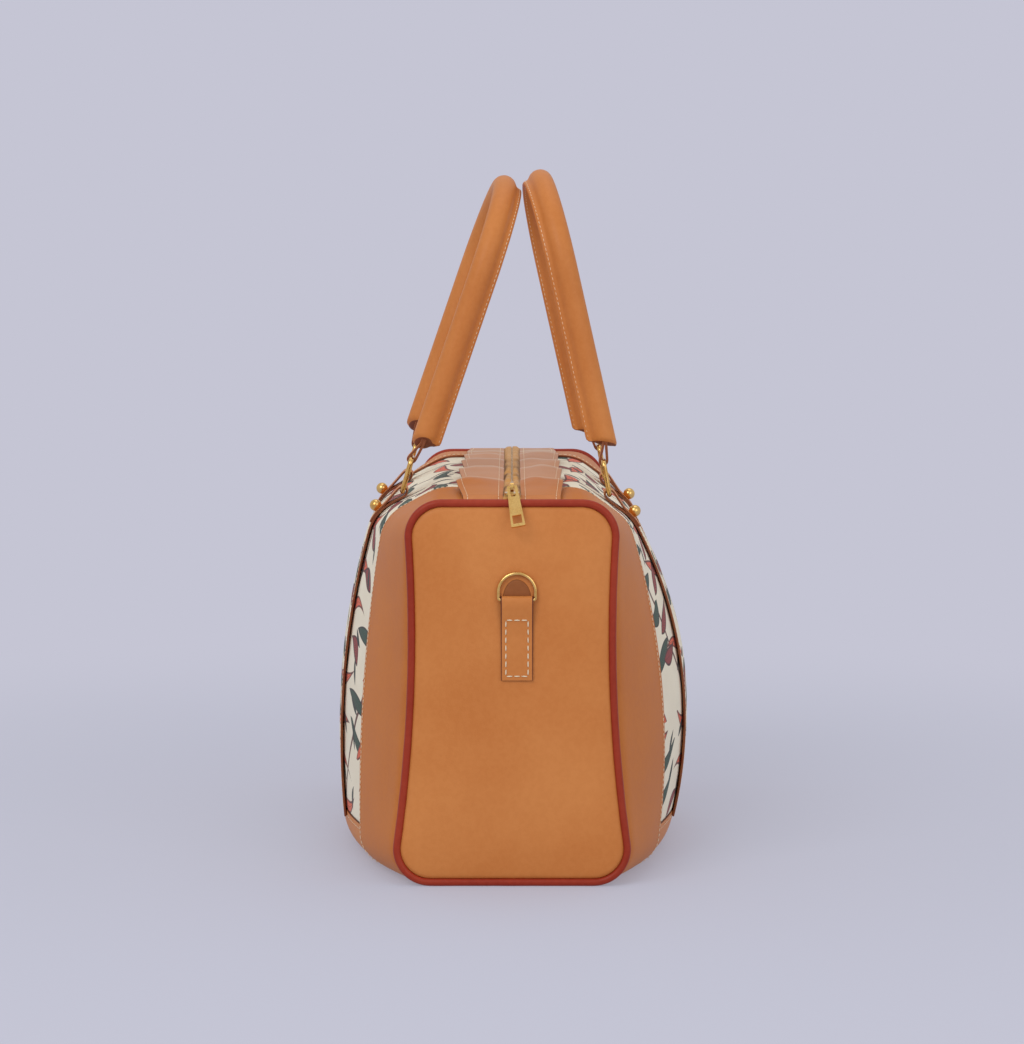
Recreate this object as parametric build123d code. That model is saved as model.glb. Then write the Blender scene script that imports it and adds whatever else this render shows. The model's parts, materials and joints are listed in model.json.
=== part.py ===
from build123d import *
import math
import os

os.makedirs("parts", exist_ok=True)

# Millimetres. X runs along the bag, Y across it (front is -Y), Z is up, and the floor is Z = 0.

# Body of the bag
bag_length = 430.0
end_top = 264.8
middle_top = 269.8
end_underside = 3.4
middle_underside = -0.6
waist_height = 135.0
front_waist_height = 120.0
base_seam_height = 28.0

# Half widths of the outline across the bag, at its ends and at its middle
end_bottom_half = 82.5
end_waist_half = 69.0
end_shoulder_half = 71.0
end_roof_half = 56.3
front_bottom_half = 121.0
front_waist_half = 126.5
front_shoulder_half = 101.0
front_roof_half = 48.0
back_bottom_half = 112.0
back_waist_half = 127.0
back_shoulder_half = 87.6
back_roof_half = 45.0

# Heights of the shoulders below the top, and the rounding of the corners
end_shoulder_drop = 13.0
front_shoulder_drop = 24.4
back_shoulder_drop = 30.0
end_corner_round = 22.0
middle_corner_round = 34.0
bottom_round = 22.0

# Leather, cloth and the gaps between layers
cloth_wall = 1.6
leather_wall = 1.6
lining_wall = 0.8
board_wall = 2.4
layer_gap = 0.2
seat_gap = 0.3
seam_lap = 8.0

# End bands, piping and end panels
band_reach = 80.0
piping_round = 2.7
seam_inset = 1.0
panel_swell = 4.4
dome_stations = [(0, 1), (0.75, 0.87), (1, 0.74)]

# Zip
zip_height = 268.4
tape_wall = 0.7
tape_near = 3.4
stop_in = 0.8
tape_far = 16.0
mouth_half = 17.0
tooth_pitch = 4.8
tooth_length = 1.7
tooth_height = 3.1
tooth_cross = 1.3
zip_end_margin = 18.0
strip_width = 27.0
strip_near = 6.5
strip_wall = 1.6
wave_count = 5
wave_height = 6.0
stop_length = 3.0

# Slider and puller
slider_length = 12.0
slider_width = 10.0
slider_wall = 1.4
slider_wedge = 2.4
lug_round = 3.2
lug_wall = 1.4
lug_width = 2.2
lug_length = 6.0
pivot_height = 7.8
puller_length = 31.5
puller_head = 7.0
puller_foot = 9.8
puller_wall = 1.5
puller_bar = 1.5
slot_length = 7.0
slot_width = 3.4
window_length = 6.5
window_edge = 1.7
window_foot = 2.3

# Straps, rings and studs
strap_at = 67.0
strap_width = 20.0
strap_wall = 1.8
ring_wire = 3.5
ring_width = 28.0
ring_height = 27.7
ring_corner = 3.6
front_ring_out = 76.7
back_ring_out = 67.2
front_ring_lean = 15.6
back_ring_lean = 10.5
stud_from_ring = 20.5
strap_tail = 10.0
loop_slack = 1.3
stud_ball = 8.6
stud_post = 2.6
stud_sink = 0.6
stud_post_in_ball = 1.0
stud_outward = 1.45
loop_pinch_at = 11.7

# Handles
handle_round = 17.0
handle_wall = 1.6
flange_height = 4.5
flange_wall = 3.0
handle_half_span = 67.0
handle_rise = 206.0
handle_turn = 4.0
cuff_middle = 14.0
cuff_rake = 32.0
handles_meet_at = 7.4
handle_gap = 0.3
core_start = 32.0
handle_loop_width = 11.0
handle_loop_wall = 1.8

# D-rings and their tabs
d_width = 28.0
d_height = 20.6
d_wire = 2.6
d_corner = 1.45
tab_width = 22.4
tab_foot_width = 21.6
tab_wall = 1.5
tab_length = 59.0
tab_stitch_drop = 24.6
tab_fold_height = 203.0
tab_aside = 3.4
patch_wall = 1.2
patch_rise = 12.0
patch_round = 7.8

# Room round the bag for the shapes that cut it
room_margin = 60.0
cut_over = 5.0

half_length = bag_length / 2
band_start = half_length - band_reach
front = {
    "side": -1,
    "bottom": front_bottom_half,
    "waist": front_waist_half,
    "waist_height": front_waist_height,
    "shoulder": front_shoulder_half,
    "roof": front_roof_half,
    "drop": front_shoulder_drop,
    "ring_out": front_ring_out,
    "ring_lean": front_ring_lean,
}
back = {
    "side": 1,
    "bottom": back_bottom_half,
    "waist": back_waist_half,
    "waist_height": waist_height,
    "shoulder": back_shoulder_half,
    "roof": back_roof_half,
    "drop": back_shoulder_drop,
    "ring_out": back_ring_out,
    "ring_lean": back_ring_lean,
}
sides = {"front": front, "back": back}
ends = {"right": 1, "left": -1}


def write(name, shape):
    solids = shape.solids()
    export_step(Compound(children=list(solids)) if len(solids) > 1 else solids[0], f"parts/{name}.step")


stand_above = (Align.CENTER, Align.CENTER, Align.MIN)
stand_below = (Align.CENTER, Align.CENTER, Align.MAX)


def block(x_range, y_range, z_range):
    low = (x_range[0], y_range[0], z_range[0])
    size = (x_range[1] - x_range[0], y_range[1] - y_range[0], z_range[1] - z_range[0])
    return Pos(*low) * Box(*size, align=(Align.MIN, Align.MIN, Align.MIN))


def swell(end_value, middle_value, x):
    # The bag bulges from its ends to its middle as a parabola
    return end_value + (middle_value - end_value) * (1 - (x / half_length) ** 2)


def across(x):
    # Plane across the bag at x, with the bag's Y and Z as its own axes
    return Plane(origin=(x, 0, 0), x_dir=(0, 1, 0), z_dir=(1, 0, 0))


def side_corners(x, side):
    top = swell(end_top, middle_top, x)
    low = swell(end_underside, middle_underside, x)
    waist_z = swell(waist_height, side["waist_height"], x)
    shoulder_z = top - swell(end_shoulder_drop, side["drop"], x)
    return {
        "bottom": (side["side"] * swell(end_bottom_half, side["bottom"], x), low),
        "waist": (side["side"] * swell(end_waist_half, side["waist"], x), waist_z),
        "shoulder": (side["side"] * swell(end_shoulder_half, side["shoulder"], x), shoulder_z),
        "roof": (side["side"] * swell(end_roof_half, side["roof"], x), top),
    }


def arc_normals(first, middle, last, way):
    # Outward directions at the two ends of the arc through three points
    chord_1 = (Vector(*middle) - Vector(*first), (Vector(*middle) + Vector(*first)) * 0.5)
    chord_2 = (Vector(*last) - Vector(*middle), (Vector(*last) + Vector(*middle)) * 0.5)
    (dir_1, at_1), (dir_2, at_2) = chord_1, chord_2
    level_1 = dir_1.dot(at_1)
    level_2 = dir_2.dot(at_2)
    cross = dir_1.X * dir_2.Y - dir_1.Y * dir_2.X
    centre = Vector(level_1 * dir_2.Y - level_2 * dir_1.Y, dir_1.X * level_2 - dir_2.X * level_1) / cross
    normals = [(Vector(*point) - centre).normalized() for point in (first, last)]
    return [normal if normal.X * way > 0 else -normal for normal in normals]


def grown_corner(point, one, other, out):
    return Vector(*point) + (one + other) * (out / (1 + one.dot(other)))


def grown_side(x, side, out):
    # The corners of one side of the outline, moved out square to the bag's surface
    corners = side_corners(x, side)
    way = side["side"]
    low_normal, high_normal = arc_normals(corners["bottom"], corners["waist"], corners["shoulder"], way)
    roof_run = Vector(*corners["shoulder"]) - Vector(*corners["roof"])
    roof_normal = Vector(-roof_run.Y * way, abs(roof_run.X)).normalized()
    return {
        "bottom": grown_corner(corners["bottom"], Vector(0, -1), low_normal, out),
        "waist": Vector(*corners["waist"]) + Vector(way * out, 0),
        "shoulder": grown_corner(corners["shoulder"], high_normal, roof_normal, out),
        "roof": grown_corner(corners["roof"], roof_normal, Vector(0, 1), out),
    }


def round_corner(face, point, radius):
    corner = face.vertices().sort_by_distance(point)[0]
    return fillet(corner, radius)


def outline(x, out):
    # The bag's outline across its length, grown by out from the outer face of the cloth
    near = grown_side(x, front, out)
    far = grown_side(x, back, out)
    edges = Line(near["bottom"], far["bottom"])
    edges += ThreePointArc(far["bottom"], far["waist"], far["shoulder"])
    edges += Line(far["shoulder"], far["roof"])
    edges += Line(far["roof"], near["roof"])
    edges += Line(near["roof"], near["shoulder"])
    edges += ThreePointArc(near["shoulder"], near["waist"], near["bottom"])
    face = make_face(edges)
    corner_round = swell(end_corner_round, middle_corner_round, x) + out
    for corners in (near, far):
        face = round_corner(face, corners["bottom"], bottom_round + out)
        face = round_corner(face, corners["shoulder"], corner_round)
        face = round_corner(face, corners["roof"], corner_round)
    return face


loft_stations = [half_length * share for share in (-1, -0.5, 0, 0.5, 1)]
bodies = {}


def body(out):
    # The whole bag as one solid, grown by out from the outer face of the cloth
    if out not in bodies:
        bodies[out] = loft([across(x) * outline(x, out) for x in loft_stations])
    return bodies[out]


def wall(inner, outer):
    return body(outer) - body(inner)


high = middle_top + room_margin
wide = front_waist_half + room_margin
long = half_length + room_margin
mouth = block((-long, long), (-mouth_half, mouth_half), (waist_height, high))


# Cloth side panels, from the base seam over the shoulder to the zip
cloth = wall(-cloth_wall, 0) - mouth
cloth_end = band_start + seam_lap
for name, side in sides.items():
    reach = sorted((side["side"] * seat_gap / 2, side["side"] * wide))
    room = block((-cloth_end, cloth_end), reach, (base_seam_height, high))
    write(f"{name}_panel", cloth & room)

# Leather base between the cloth panels, flat where it meets the floor
base_room = block((-cloth_end, cloth_end), (-wide, wide), (0, base_seam_height - seat_gap))
write("base_panel", wall(-cloth_wall, 0) & base_room)

# Leather bands that wrap the bag behind the end seams, lapped over the cloth
piping_out = end_underside - piping_round
seam_at = half_length - seam_inset
band_end = seam_at - piping_round - layer_gap
band_wall = wall(layer_gap, layer_gap + leather_wall) - mouth
for name, way in ends.items():
    room = block(sorted((way * band_start, way * band_end)), (-wide, wide), (0, high))
    write(f"end_band_{name}", band_wall & room)

# Round piping in the seam round each end panel
piping_path = (across(seam_at) * outline(half_length, piping_out)).face().outer_wire()
piping_start = piping_path @ 0
piping_disc = Plane(origin=piping_start, z_dir=piping_path % 0) * Circle(piping_round)
piping = sweep(piping_disc, path=piping_path)
write("piping_right", piping)
write("piping_left", mirror(piping, about=Plane.YZ))

# Domed end panels, tucked behind the piping
panel_out = piping_out - piping_round - seat_gap


def dome(back_off, inset):
    # Each station has its share of the swell, and the size of the rim there
    rim = Pos(0, -waist_height) * outline(half_length, panel_out - inset)
    foot = seam_at - back_off
    return loft(
        [
            across(foot + panel_swell * rise) * Pos(0, waist_height) * scale(rim, by=share)
            for rise, share in dome_stations
        ]
    )


end_panel = dome(0, 0) - dome(leather_wall, leather_wall)
panel_face_at = seam_at + panel_swell
write("end_panel_right", end_panel)
write("end_panel_left", mirror(end_panel, about=Plane.YZ))

# Cloth lining, open along the zip, and the stiff board that lies in it
lining_outer = -cloth_wall - layer_gap
lining_end = seam_at - piping_round - leather_wall
lining = wall(lining_outer - lining_wall, lining_outer)
lining = lining & block((-lining_end, lining_end), (-wide, wide), (0, high))
lining_mouth_half = tape_far - seat_gap
lining_mouth = block((-lining_end, lining_end), (-lining_mouth_half, lining_mouth_half), (waist_height, high))
closing = body(lining_outer) & block((lining_end - lining_wall, lining_end), (-wide, wide), (0, high))
write("lining", lining - lining_mouth + closing + mirror(closing, about=Plane.YZ))
board_floor = end_underside - lining_outer + lining_wall + layer_gap
board_half = lining_end - lining_wall - seam_lap
board_room = block((-board_half, board_half), (-wide, wide), (board_floor, board_floor + board_wall))
write("base_board", body(lining_outer - lining_wall - seat_gap) & board_room)


# Zip tapes and the rows of teeth, straight along the bag
chain_half = half_length - zip_end_margin
tape_half = lining_end - seat_gap
tooth_middle = zip_height + tape_wall / 2
teeth_in_row = int(2 * chain_half / tooth_pitch)


tooth_room = (tooth_middle - tooth_height / 2, tooth_middle + tooth_height / 2)


def tooth(x, way):
    reach = sorted((-way * tooth_cross, way * (tape_near - layer_gap)))
    return block((x - tooth_length / 2, x + tooth_length / 2), reach, tooth_room)


for name, side in sides.items():
    way = side["side"]
    reach = sorted((way * tape_near, way * tape_far))
    write(f"zip_tape_{name}", block((-tape_half, tape_half), reach, (zip_height, zip_height + tape_wall)))
    shift = tooth_pitch / 4 * way
    first = -tooth_pitch * (teeth_in_row - 1) / 2 + shift
    row = [tooth(first + tooth_pitch * i, way) for i in range(teeth_in_row)]
    write(f"zip_teeth_{name}", Compound(children=row))

# Metal stops beyond the last teeth, one on each tape
stop_near = tooth_pitch * teeth_in_row / 2 + seat_gap
for name, way in ends.items():
    run = sorted((way * stop_near, way * (stop_near + stop_length)))
    pair = [
        block(run, sorted((side_way * stop_in, side_way * (tape_near - layer_gap))), tooth_room)
        for side_way in (-1, 1)
    ]
    write(f"zip_stop_{name}", Compound(children=pair))

# Leather strips beside the zip, puckered into waves along their length
strip_end = seam_at - piping_round - seat_gap
wave_length = 2 * strip_end / wave_count


def strip_height(x):
    floor = swell(zip_height + tape_wall + seat_gap, middle_top + seat_gap, x)
    return floor + wave_height * (0.5 - 0.5 * math.cos(2 * math.pi * (x + strip_end) / wave_length))


wave_points = [-strip_end + wave_length / 4 * i for i in range(4 * wave_count + 1)]
strip_under = Spline([(x, strip_height(x)) for x in wave_points])
strip_over = Spline([(x, strip_height(x) + strip_wall) for x in reversed(wave_points)])
strip_edges = strip_under + strip_over
for x in (-strip_end, strip_end):
    strip_edges += Line((x, strip_height(x)), (x, strip_height(x) + strip_wall))
strip_profile = make_face(strip_edges)
for name, side in sides.items():
    near, far = sorted((side["side"] * strip_near, side["side"] * (strip_near + strip_width)))
    start = Plane(origin=(0, far, 0), x_dir=(1, 0, 0), z_dir=(0, -1, 0))
    write(f"zip_strip_{name}", extrude(start * strip_profile, amount=far - near))

# Slider, closed at the right-hand end of the zip
slider_front = seam_at - piping_round - seat_gap
slider_middle = slider_front - slider_length / 2
channel_half = tooth_height / 2 + seat_gap
plate_plan = Rectangle(slider_length, slider_width)
plate_plan = fillet(plate_plan.vertices(), slider_width / 4)
top_plate = Pos(slider_middle, 0, tooth_middle + channel_half) * extrude(plate_plan, amount=slider_wall)
low_plate = Pos(slider_middle, 0, tooth_middle - channel_half) * extrude(plate_plan, amount=-slider_wall)
wedge = Pos(slider_front - slider_wedge, 0, tooth_middle - channel_half) * extrude(
    Ellipse(slider_wedge, slider_wedge / 2), amount=2 * channel_half
)
rail_height = channel_half - tape_wall / 2 - seat_gap
rail_half = slider_length / 2 - slider_width / 4
slider = top_plate + low_plate + wedge
for way in (-1, 1):
    for rise in (-channel_half, channel_half - rail_height):
        rail_y = sorted((way * (slider_width / 2 - slider_wall), way * slider_width / 2))
        slider += block(
            (slider_middle - rail_half, slider_middle + rail_half),
            rail_y,
            (tooth_middle + rise, tooth_middle + rise + rail_height),
        )
pivot_x = slider_front
pivot_z = zip_height + pivot_height
lug_middle = pivot_x - lug_length / 2
lug_plane = Plane(origin=(lug_middle, lug_width / 2, pivot_z), x_dir=(1, 0, 0), z_dir=(0, -1, 0))
lug = SlotCenterToCenter(lug_length, 2 * lug_round)
plate_top = tooth_middle + channel_half + slider_wall
lug_drop = pivot_z - plate_top + slider_wall / 2
lug += Pos(-lug_round / 2, -lug_drop / 2) * Rectangle(lug_length, lug_drop)
lug -= SlotCenterToCenter(lug_length, 2 * (lug_round - lug_wall))
slider += extrude(lug_plane * lug, amount=lug_width)
write("zip_slider", slider)

# Puller, hung from the slider's lug and lying against the piping
piping_top_z = end_top + piping_out
to_piping = (seam_at - pivot_x, pivot_z - piping_top_z)
rest_gap = piping_round + puller_wall / 2 + seat_gap
puller_drop = math.degrees(
    math.acos(rest_gap / math.hypot(*to_piping)) - math.atan2(to_piping[0], to_piping[1])
)
puller_plan = make_face(
    Polyline(
        (-puller_bar / 2, -puller_head / 2),
        (puller_length, -puller_foot / 2),
        (puller_length, puller_foot / 2),
        (-puller_bar / 2, puller_head / 2),
        close=True,
    )
)
puller_plan = fillet(puller_plan.vertices(), window_edge / 2)
slot_plan = Pos(puller_bar / 2 + slot_length / 2, 0) * Rectangle(slot_length, slot_width)
puller_plan -= fillet(slot_plan.vertices(), slot_width / 4)
window_at = puller_length - window_foot - window_length / 2
puller_plan -= Pos(window_at, 0) * Rectangle(window_length, puller_foot - 2 * window_edge)
puller = extrude(puller_plan, amount=puller_wall / 2, both=True)
write("zip_puller", Pos(pivot_x, 0, pivot_z) * Rot(0, puller_drop, 0) * puller)


# Rings, straps and studs: one set at each end of each handle
def roof_point(x, side, out_y):
    # A point on the straight of the roof, and the way out from it
    corners = side_corners(x, side)
    roof_y, roof_z = corners["roof"]
    shoulder_y, shoulder_z = corners["shoulder"]
    slope = math.atan2(roof_z - shoulder_z, abs(shoulder_y - roof_y))
    return side["side"] * out_y, roof_z - (out_y - abs(roof_y)) * math.tan(slope), slope


ring_pitch = ring_height - ring_wire
strap_low = seat_gap
strap_mid = strap_low + strap_wall
strap_top = strap_mid + strap_wall
bar_out = strap_mid + loop_slack + ring_wire / 2
ring_path = RectangleRounded(ring_width - ring_wire, ring_pitch, ring_corner)
loop_reach = stud_from_ring - stud_ball / 2


def ring_seat(side):
    # Where the lower bar of the ring lies, and the slope of the roof there
    y, z, slope = roof_point(strap_at, side, side["ring_out"])
    y += side["side"] * bar_out * math.sin(slope)
    z += bar_out * math.cos(slope)
    return y, z, slope


def ring_top(side):
    y, z, slope = ring_seat(side)
    lean = math.radians(side["ring_lean"])
    return y - side["side"] * ring_pitch * math.sin(lean), z + ring_pitch * math.cos(lean)


def ring(side):
    y, z, slope = ring_seat(side)
    lean = math.radians(side["ring_lean"])
    up = (0, -side["side"] * math.sin(lean), math.cos(lean))
    flat = Plane(origin=(0, y, z), x_dir=(1, 0, 0), z_dir=Vector(1, 0, 0).cross(Vector(*up)))
    wire = (flat * Pos(0, ring_pitch / 2) * ring_path).face().outer_wire()
    disc = Plane(origin=wire @ 0, z_dir=wire % 0) * Circle(ring_wire / 2)
    return sweep(disc, path=wire)


# In the loop's own plane, X runs down the roof from the ring's lower bar and Y runs out from the roof
def strap_loop(side):
    y, z, slope = ring_seat(side)
    down = (0, side["side"] * math.cos(slope), -math.sin(slope))
    plane_z = Vector(*down).cross(Vector(0, side["side"] * math.sin(slope), math.cos(slope)))
    flat = Plane(origin=(0, y, z), x_dir=down, z_dir=plane_z)
    inner = ring_wire / 2 + loop_slack
    outer = inner + strap_wall
    low = strap_mid - bar_out
    meet = Pos(loop_reach, low) * Circle(strap_wall - 2 * layer_gap)
    pinch = Pos(loop_pinch_at, low + layer_gap) * Circle(layer_gap)
    skin = make_hull([Circle(outer).edge(), *meet.edges()])
    hole = make_hull([Circle(inner).edge(), *pinch.edges()])
    return extrude(flat * (skin - hole), amount=strap_width / 2, both=True)


strap_wall_low = wall(strap_low, strap_mid)
strap_wall_top = wall(strap_mid, strap_top)
for name, side in sides.items():
    way = side["side"]
    y, z, slope = ring_seat(side)
    loop = strap_loop(side)
    one_ring = ring(side)
    along = math.cos(slope)
    low_start = abs(y) + (loop_reach - strap_wall) * along
    stud_y = abs(y) + stud_from_ring * along
    tail_end = stud_y + strap_tail * along
    for end, end_way in ends.items():
        x = end_way * strap_at
        spot = (x - strap_width / 2, x + strap_width / 2)
        low_room = block(spot, sorted((way * low_start, way * wide)), (base_seam_height, high))
        tail_room = block(spot, sorted((way * low_start, way * tail_end)), (waist_height, high))
        strap = (strap_wall_low & low_room) + (strap_wall_top & tail_room) + Pos(x, 0, 0) * loop
        seat_spot = block((x - 1, x + 1), sorted((way * stud_y, way * (stud_y + 1))), (waist_height, high))
        seat_z = (strap_wall_top & seat_spot).bounding_box().max.Z
        stud_tilt = way * slope * stud_outward
        post_plane = Plane(
            origin=(x, way * stud_y, seat_z),
            x_dir=(1, 0, 0),
            z_dir=(0, math.sin(stud_tilt), math.cos(stud_tilt)),
        )
        post_hole = post_plane * Cylinder(stud_post / 2 + layer_gap, 4 * strap_wall + cut_over)
        write(f"strap_{name}_{end}", strap - post_hole)
        stud = post_plane * Pos(0, 0, seat_gap + stud_ball / 2 - stud_sink) * Sphere(stud_ball / 2)
        stud -= post_plane * Pos(0, 0, seat_gap) * Cylinder(stud_ball, stud_ball, align=stand_below)
        post_foot = seat_gap - 2 * strap_wall
        post_length = 2 * strap_wall + stud_post_in_ball
        stud += post_plane * Pos(0, 0, post_foot) * Cylinder(stud_post / 2, post_length, align=stand_above)
        write(f"stud_{name}_{end}", stud)
        write(f"ring_{name}_{end}", Pos(x, 0, 0) * one_ring)


# Handles. In a handle's own frame Z runs up the handle, Y points at the other handle and the
# origin is on the ring's upper bar, halfway along the bag
leg_top = handle_rise - handle_half_span


def handle_path(start):
    # Legs and arch, turned a little about the handle's own upright
    legs = Line((-handle_half_span, 0, start), (-handle_half_span, 0, leg_top))
    legs += ThreePointArc(
        (-handle_half_span, 0, leg_top), (0, 0, handle_rise), (handle_half_span, 0, leg_top)
    )
    legs += Line((handle_half_span, 0, leg_top), (handle_half_span, 0, start))
    return Rot(0, 0, math.degrees(math.asin(handle_turn / handle_half_span))) * legs


def handle_section(start, face):
    path = handle_path(start)
    spot = path @ 0
    turn = handle_turn / handle_half_span
    facing = (-turn, math.sqrt(1 - turn ** 2), 0)
    return sweep(Plane(origin=spot, x_dir=facing, z_dir=(0, 0, 1)) * face, path=path)


tube_face = Circle(handle_round / 2)
flange_end = handle_round / 2 + flange_height
tube_face += Pos(flange_end / 2, 0) * Rectangle(flange_end, flange_wall)
tube_face -= Circle(handle_round / 2 - handle_wall)
cover = handle_section(cuff_middle - handle_round / 2, tube_face)
under_cuff = Box(3 * handle_round, 3 * handle_round, 2 * handle_round, align=stand_below)
for way in (-1, 1):
    cuff = Pos(way * handle_half_span, way * handle_turn, cuff_middle)
    cover -= cuff * Rot(0, way * cuff_rake, 0) * under_cuff
core = handle_section(core_start, Circle(handle_round / 2 - handle_wall - layer_gap))


def handle_loop(way):
    # A leather loop round the ring's upper bar, with its doubled end inside the cuff
    bar = ring_wire / 2 + seat_gap
    aside = way * handle_turn
    neck_top = cuff_middle - handle_loop_wall
    tongue = make_face(
        Polyline(
            (-bar - handle_loop_wall, 0),
            (bar + handle_loop_wall, 0),
            (aside + handle_loop_wall, neck_top),
            (aside + handle_loop_wall, core_start - seat_gap),
            (aside - handle_loop_wall, core_start - seat_gap),
            (aside - handle_loop_wall, neck_top),
            close=True,
        )
    )
    tongue += Circle(bar + handle_loop_wall)
    tongue -= Circle(bar)
    upright = Plane(origin=(way * handle_half_span, 0, 0), x_dir=(0, 1, 0), z_dir=(1, 0, 0))
    return extrude(upright * tongue, amount=handle_loop_width / 2, both=True)


reach_up = handle_rise + flange_wall / 2
for name, side in sides.items():
    way = side["side"]
    y, z = ring_top(side)
    span = abs(handles_meet_at - y) - handle_gap / 2
    lean = math.asin(span / math.hypot(reach_up, flange_end)) - math.atan2(flange_end, reach_up)
    frame = Plane(origin=(0, y, z), x_dir=(-way, 0, 0), z_dir=(0, -way * math.sin(lean), math.cos(lean)))
    write(f"handle_{name}", frame * cover)
    write(f"handle_core_{name}", frame * core)
    for end, end_way in ends.items():
        write(f"handle_loop_{name}_{end}", frame * handle_loop(-way * end_way))
    print(name, "ring seat", ring_seat(side), "ring top", (y, z), "handle lean", math.degrees(lean))

# D-rings, and the folded tabs that hold them on the end panels
bar_off = seat_gap + tab_wall + seat_gap + d_wire / 2
d_bar_x = panel_face_at + bar_off
d_bar_z = tab_fold_height - tab_wall - seat_gap - d_wire / 2
d_half = (d_width - d_wire) / 2
d_rise = d_height - d_wire
d_lean = math.atan2(bar_off - patch_wall - 2 * seat_gap - d_wire / 2, d_rise)
d_plan = Rectangle(2 * d_half, d_rise - d_half, align=(Align.CENTER, Align.MIN))
d_plan = fillet(d_plan.vertices().sort_by(Axis.Y)[:2], d_corner)
d_bow = Circle(d_half) & Rectangle(3 * d_half, d_half, align=(Align.CENTER, Align.MIN))
d_plan += Pos(0, d_rise - d_half) * d_bow
d_upright = Plane(
    origin=(d_bar_x, tab_aside, d_bar_z), x_dir=(0, 1, 0), z_dir=(math.cos(d_lean), 0, math.sin(d_lean))
)
d_wire_path = (d_upright * d_plan).face().outer_wire()
d_disc = Plane(origin=d_wire_path @ 0, z_dir=d_wire_path % 0) * Circle(d_wire / 2)
d_ring = sweep(d_disc, path=d_wire_path)
write("d_ring_right", d_ring)
write("d_ring_left", mirror(d_ring, about=Plane.YZ))

fold_inner = d_wire / 2 + seat_gap
fold_outer = fold_inner + tab_wall
tab_foot = tab_fold_height - tab_length
side_plane = Plane(origin=(0, tab_aside, 0), x_dir=(1, 0, 0), z_dir=(0, -1, 0))
tab_profile = Pos(d_bar_x, d_bar_z) * Circle(fold_outer)
back_x = panel_face_at + seat_gap
tab_flat = tab_fold_height - tab_stitch_drop
tab_profile += make_face(
    Polyline(
        (back_x, d_bar_z),
        (d_bar_x + fold_outer, d_bar_z),
        (back_x + 2 * tab_wall, tab_flat),
        (back_x + 2 * tab_wall, tab_foot),
        (back_x, tab_foot),
        close=True,
    )
)
tab_profile -= Pos(d_bar_x, d_bar_z) * Circle(fold_inner)
tab_solid = extrude(side_plane * tab_profile, amount=tab_width / 2, both=True)
foot_trim = (tab_width - tab_foot_width) / 2
tab_front = Plane(origin=(seam_at, tab_aside, 0), x_dir=(0, 1, 0), z_dir=(1, 0, 0))
tab_plan = make_face(
    Polyline(
        (-tab_width / 2, tab_fold_height + cut_over),
        (tab_width / 2, tab_fold_height + cut_over),
        (tab_width / 2 - foot_trim, tab_foot),
        (-tab_width / 2 + foot_trim, tab_foot),
        close=True,
    )
)
tab_solid = tab_solid & extrude(tab_front * tab_plan, amount=room_margin)
patch_plane = Plane(origin=(panel_face_at + layer_gap, tab_aside, d_bar_z), x_dir=(0, 1, 0), z_dir=(1, 0, 0))
patch_half = tab_width / 2 - tab_wall
patch_plan = RectangleRounded(2 * patch_half, 2 * patch_rise, patch_round)
patch = extrude(patch_plane * patch_plan, amount=patch_wall)
patch = patch & block((seam_at, long), (-wide, wide), (d_bar_z, high))
d_tab = tab_solid + patch
write("d_tab_right", d_tab)
write("d_tab_left", mirror(d_tab, about=Plane.YZ))
print("d bar", d_bar_x, tab_aside, d_bar_z, "pivot", pivot_x, pivot_z, "drop", puller_drop)
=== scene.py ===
import json
import math
import random

import bmesh
import bpy
import numpy as np
from mathutils import Matrix, Vector, noise


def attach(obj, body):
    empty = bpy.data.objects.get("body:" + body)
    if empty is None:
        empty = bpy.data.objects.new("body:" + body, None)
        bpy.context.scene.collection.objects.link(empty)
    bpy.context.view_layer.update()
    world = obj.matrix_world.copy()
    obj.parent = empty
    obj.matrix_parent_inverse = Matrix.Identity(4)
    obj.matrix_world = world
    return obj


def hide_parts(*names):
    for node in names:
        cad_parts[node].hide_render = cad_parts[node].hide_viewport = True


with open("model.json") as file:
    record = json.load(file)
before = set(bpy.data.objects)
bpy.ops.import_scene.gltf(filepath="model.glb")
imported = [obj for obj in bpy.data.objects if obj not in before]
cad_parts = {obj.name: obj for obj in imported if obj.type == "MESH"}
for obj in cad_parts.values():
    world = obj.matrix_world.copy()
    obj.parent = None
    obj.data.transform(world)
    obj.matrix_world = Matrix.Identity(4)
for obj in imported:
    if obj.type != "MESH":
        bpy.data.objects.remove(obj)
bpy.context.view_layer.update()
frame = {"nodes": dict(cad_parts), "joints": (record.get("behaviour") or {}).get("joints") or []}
scene = bpy.context.scene
random.seed(7)

# Metres throughout. X runs along the bag, the front is -Y, and the photo looks along -X

sides = ("front", "back")
ends = (("right", 1), ("left", -1))  # Each end's name and its sign along X
xAxis = Vector((1, 0, 0))
photo = {"height": 1044, "pxFocal": 3750, "horizonPx": 145, "eye": (2.765, 0.0, 0.509), "sensor": 36}


def srgb(r, g, b):
    # A colour read as 0-255 in a picture, as the shader wants it
    def lin(c):
        c = c / 255
        return c / 12.92 if c <= 0.04045 else ((c + 0.055) / 1.055) ** 2.4
    return (lin(r), lin(g), lin(b), 1.0)


# Shader graph helper: arithmetic on Sock adds Math nodes

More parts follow.
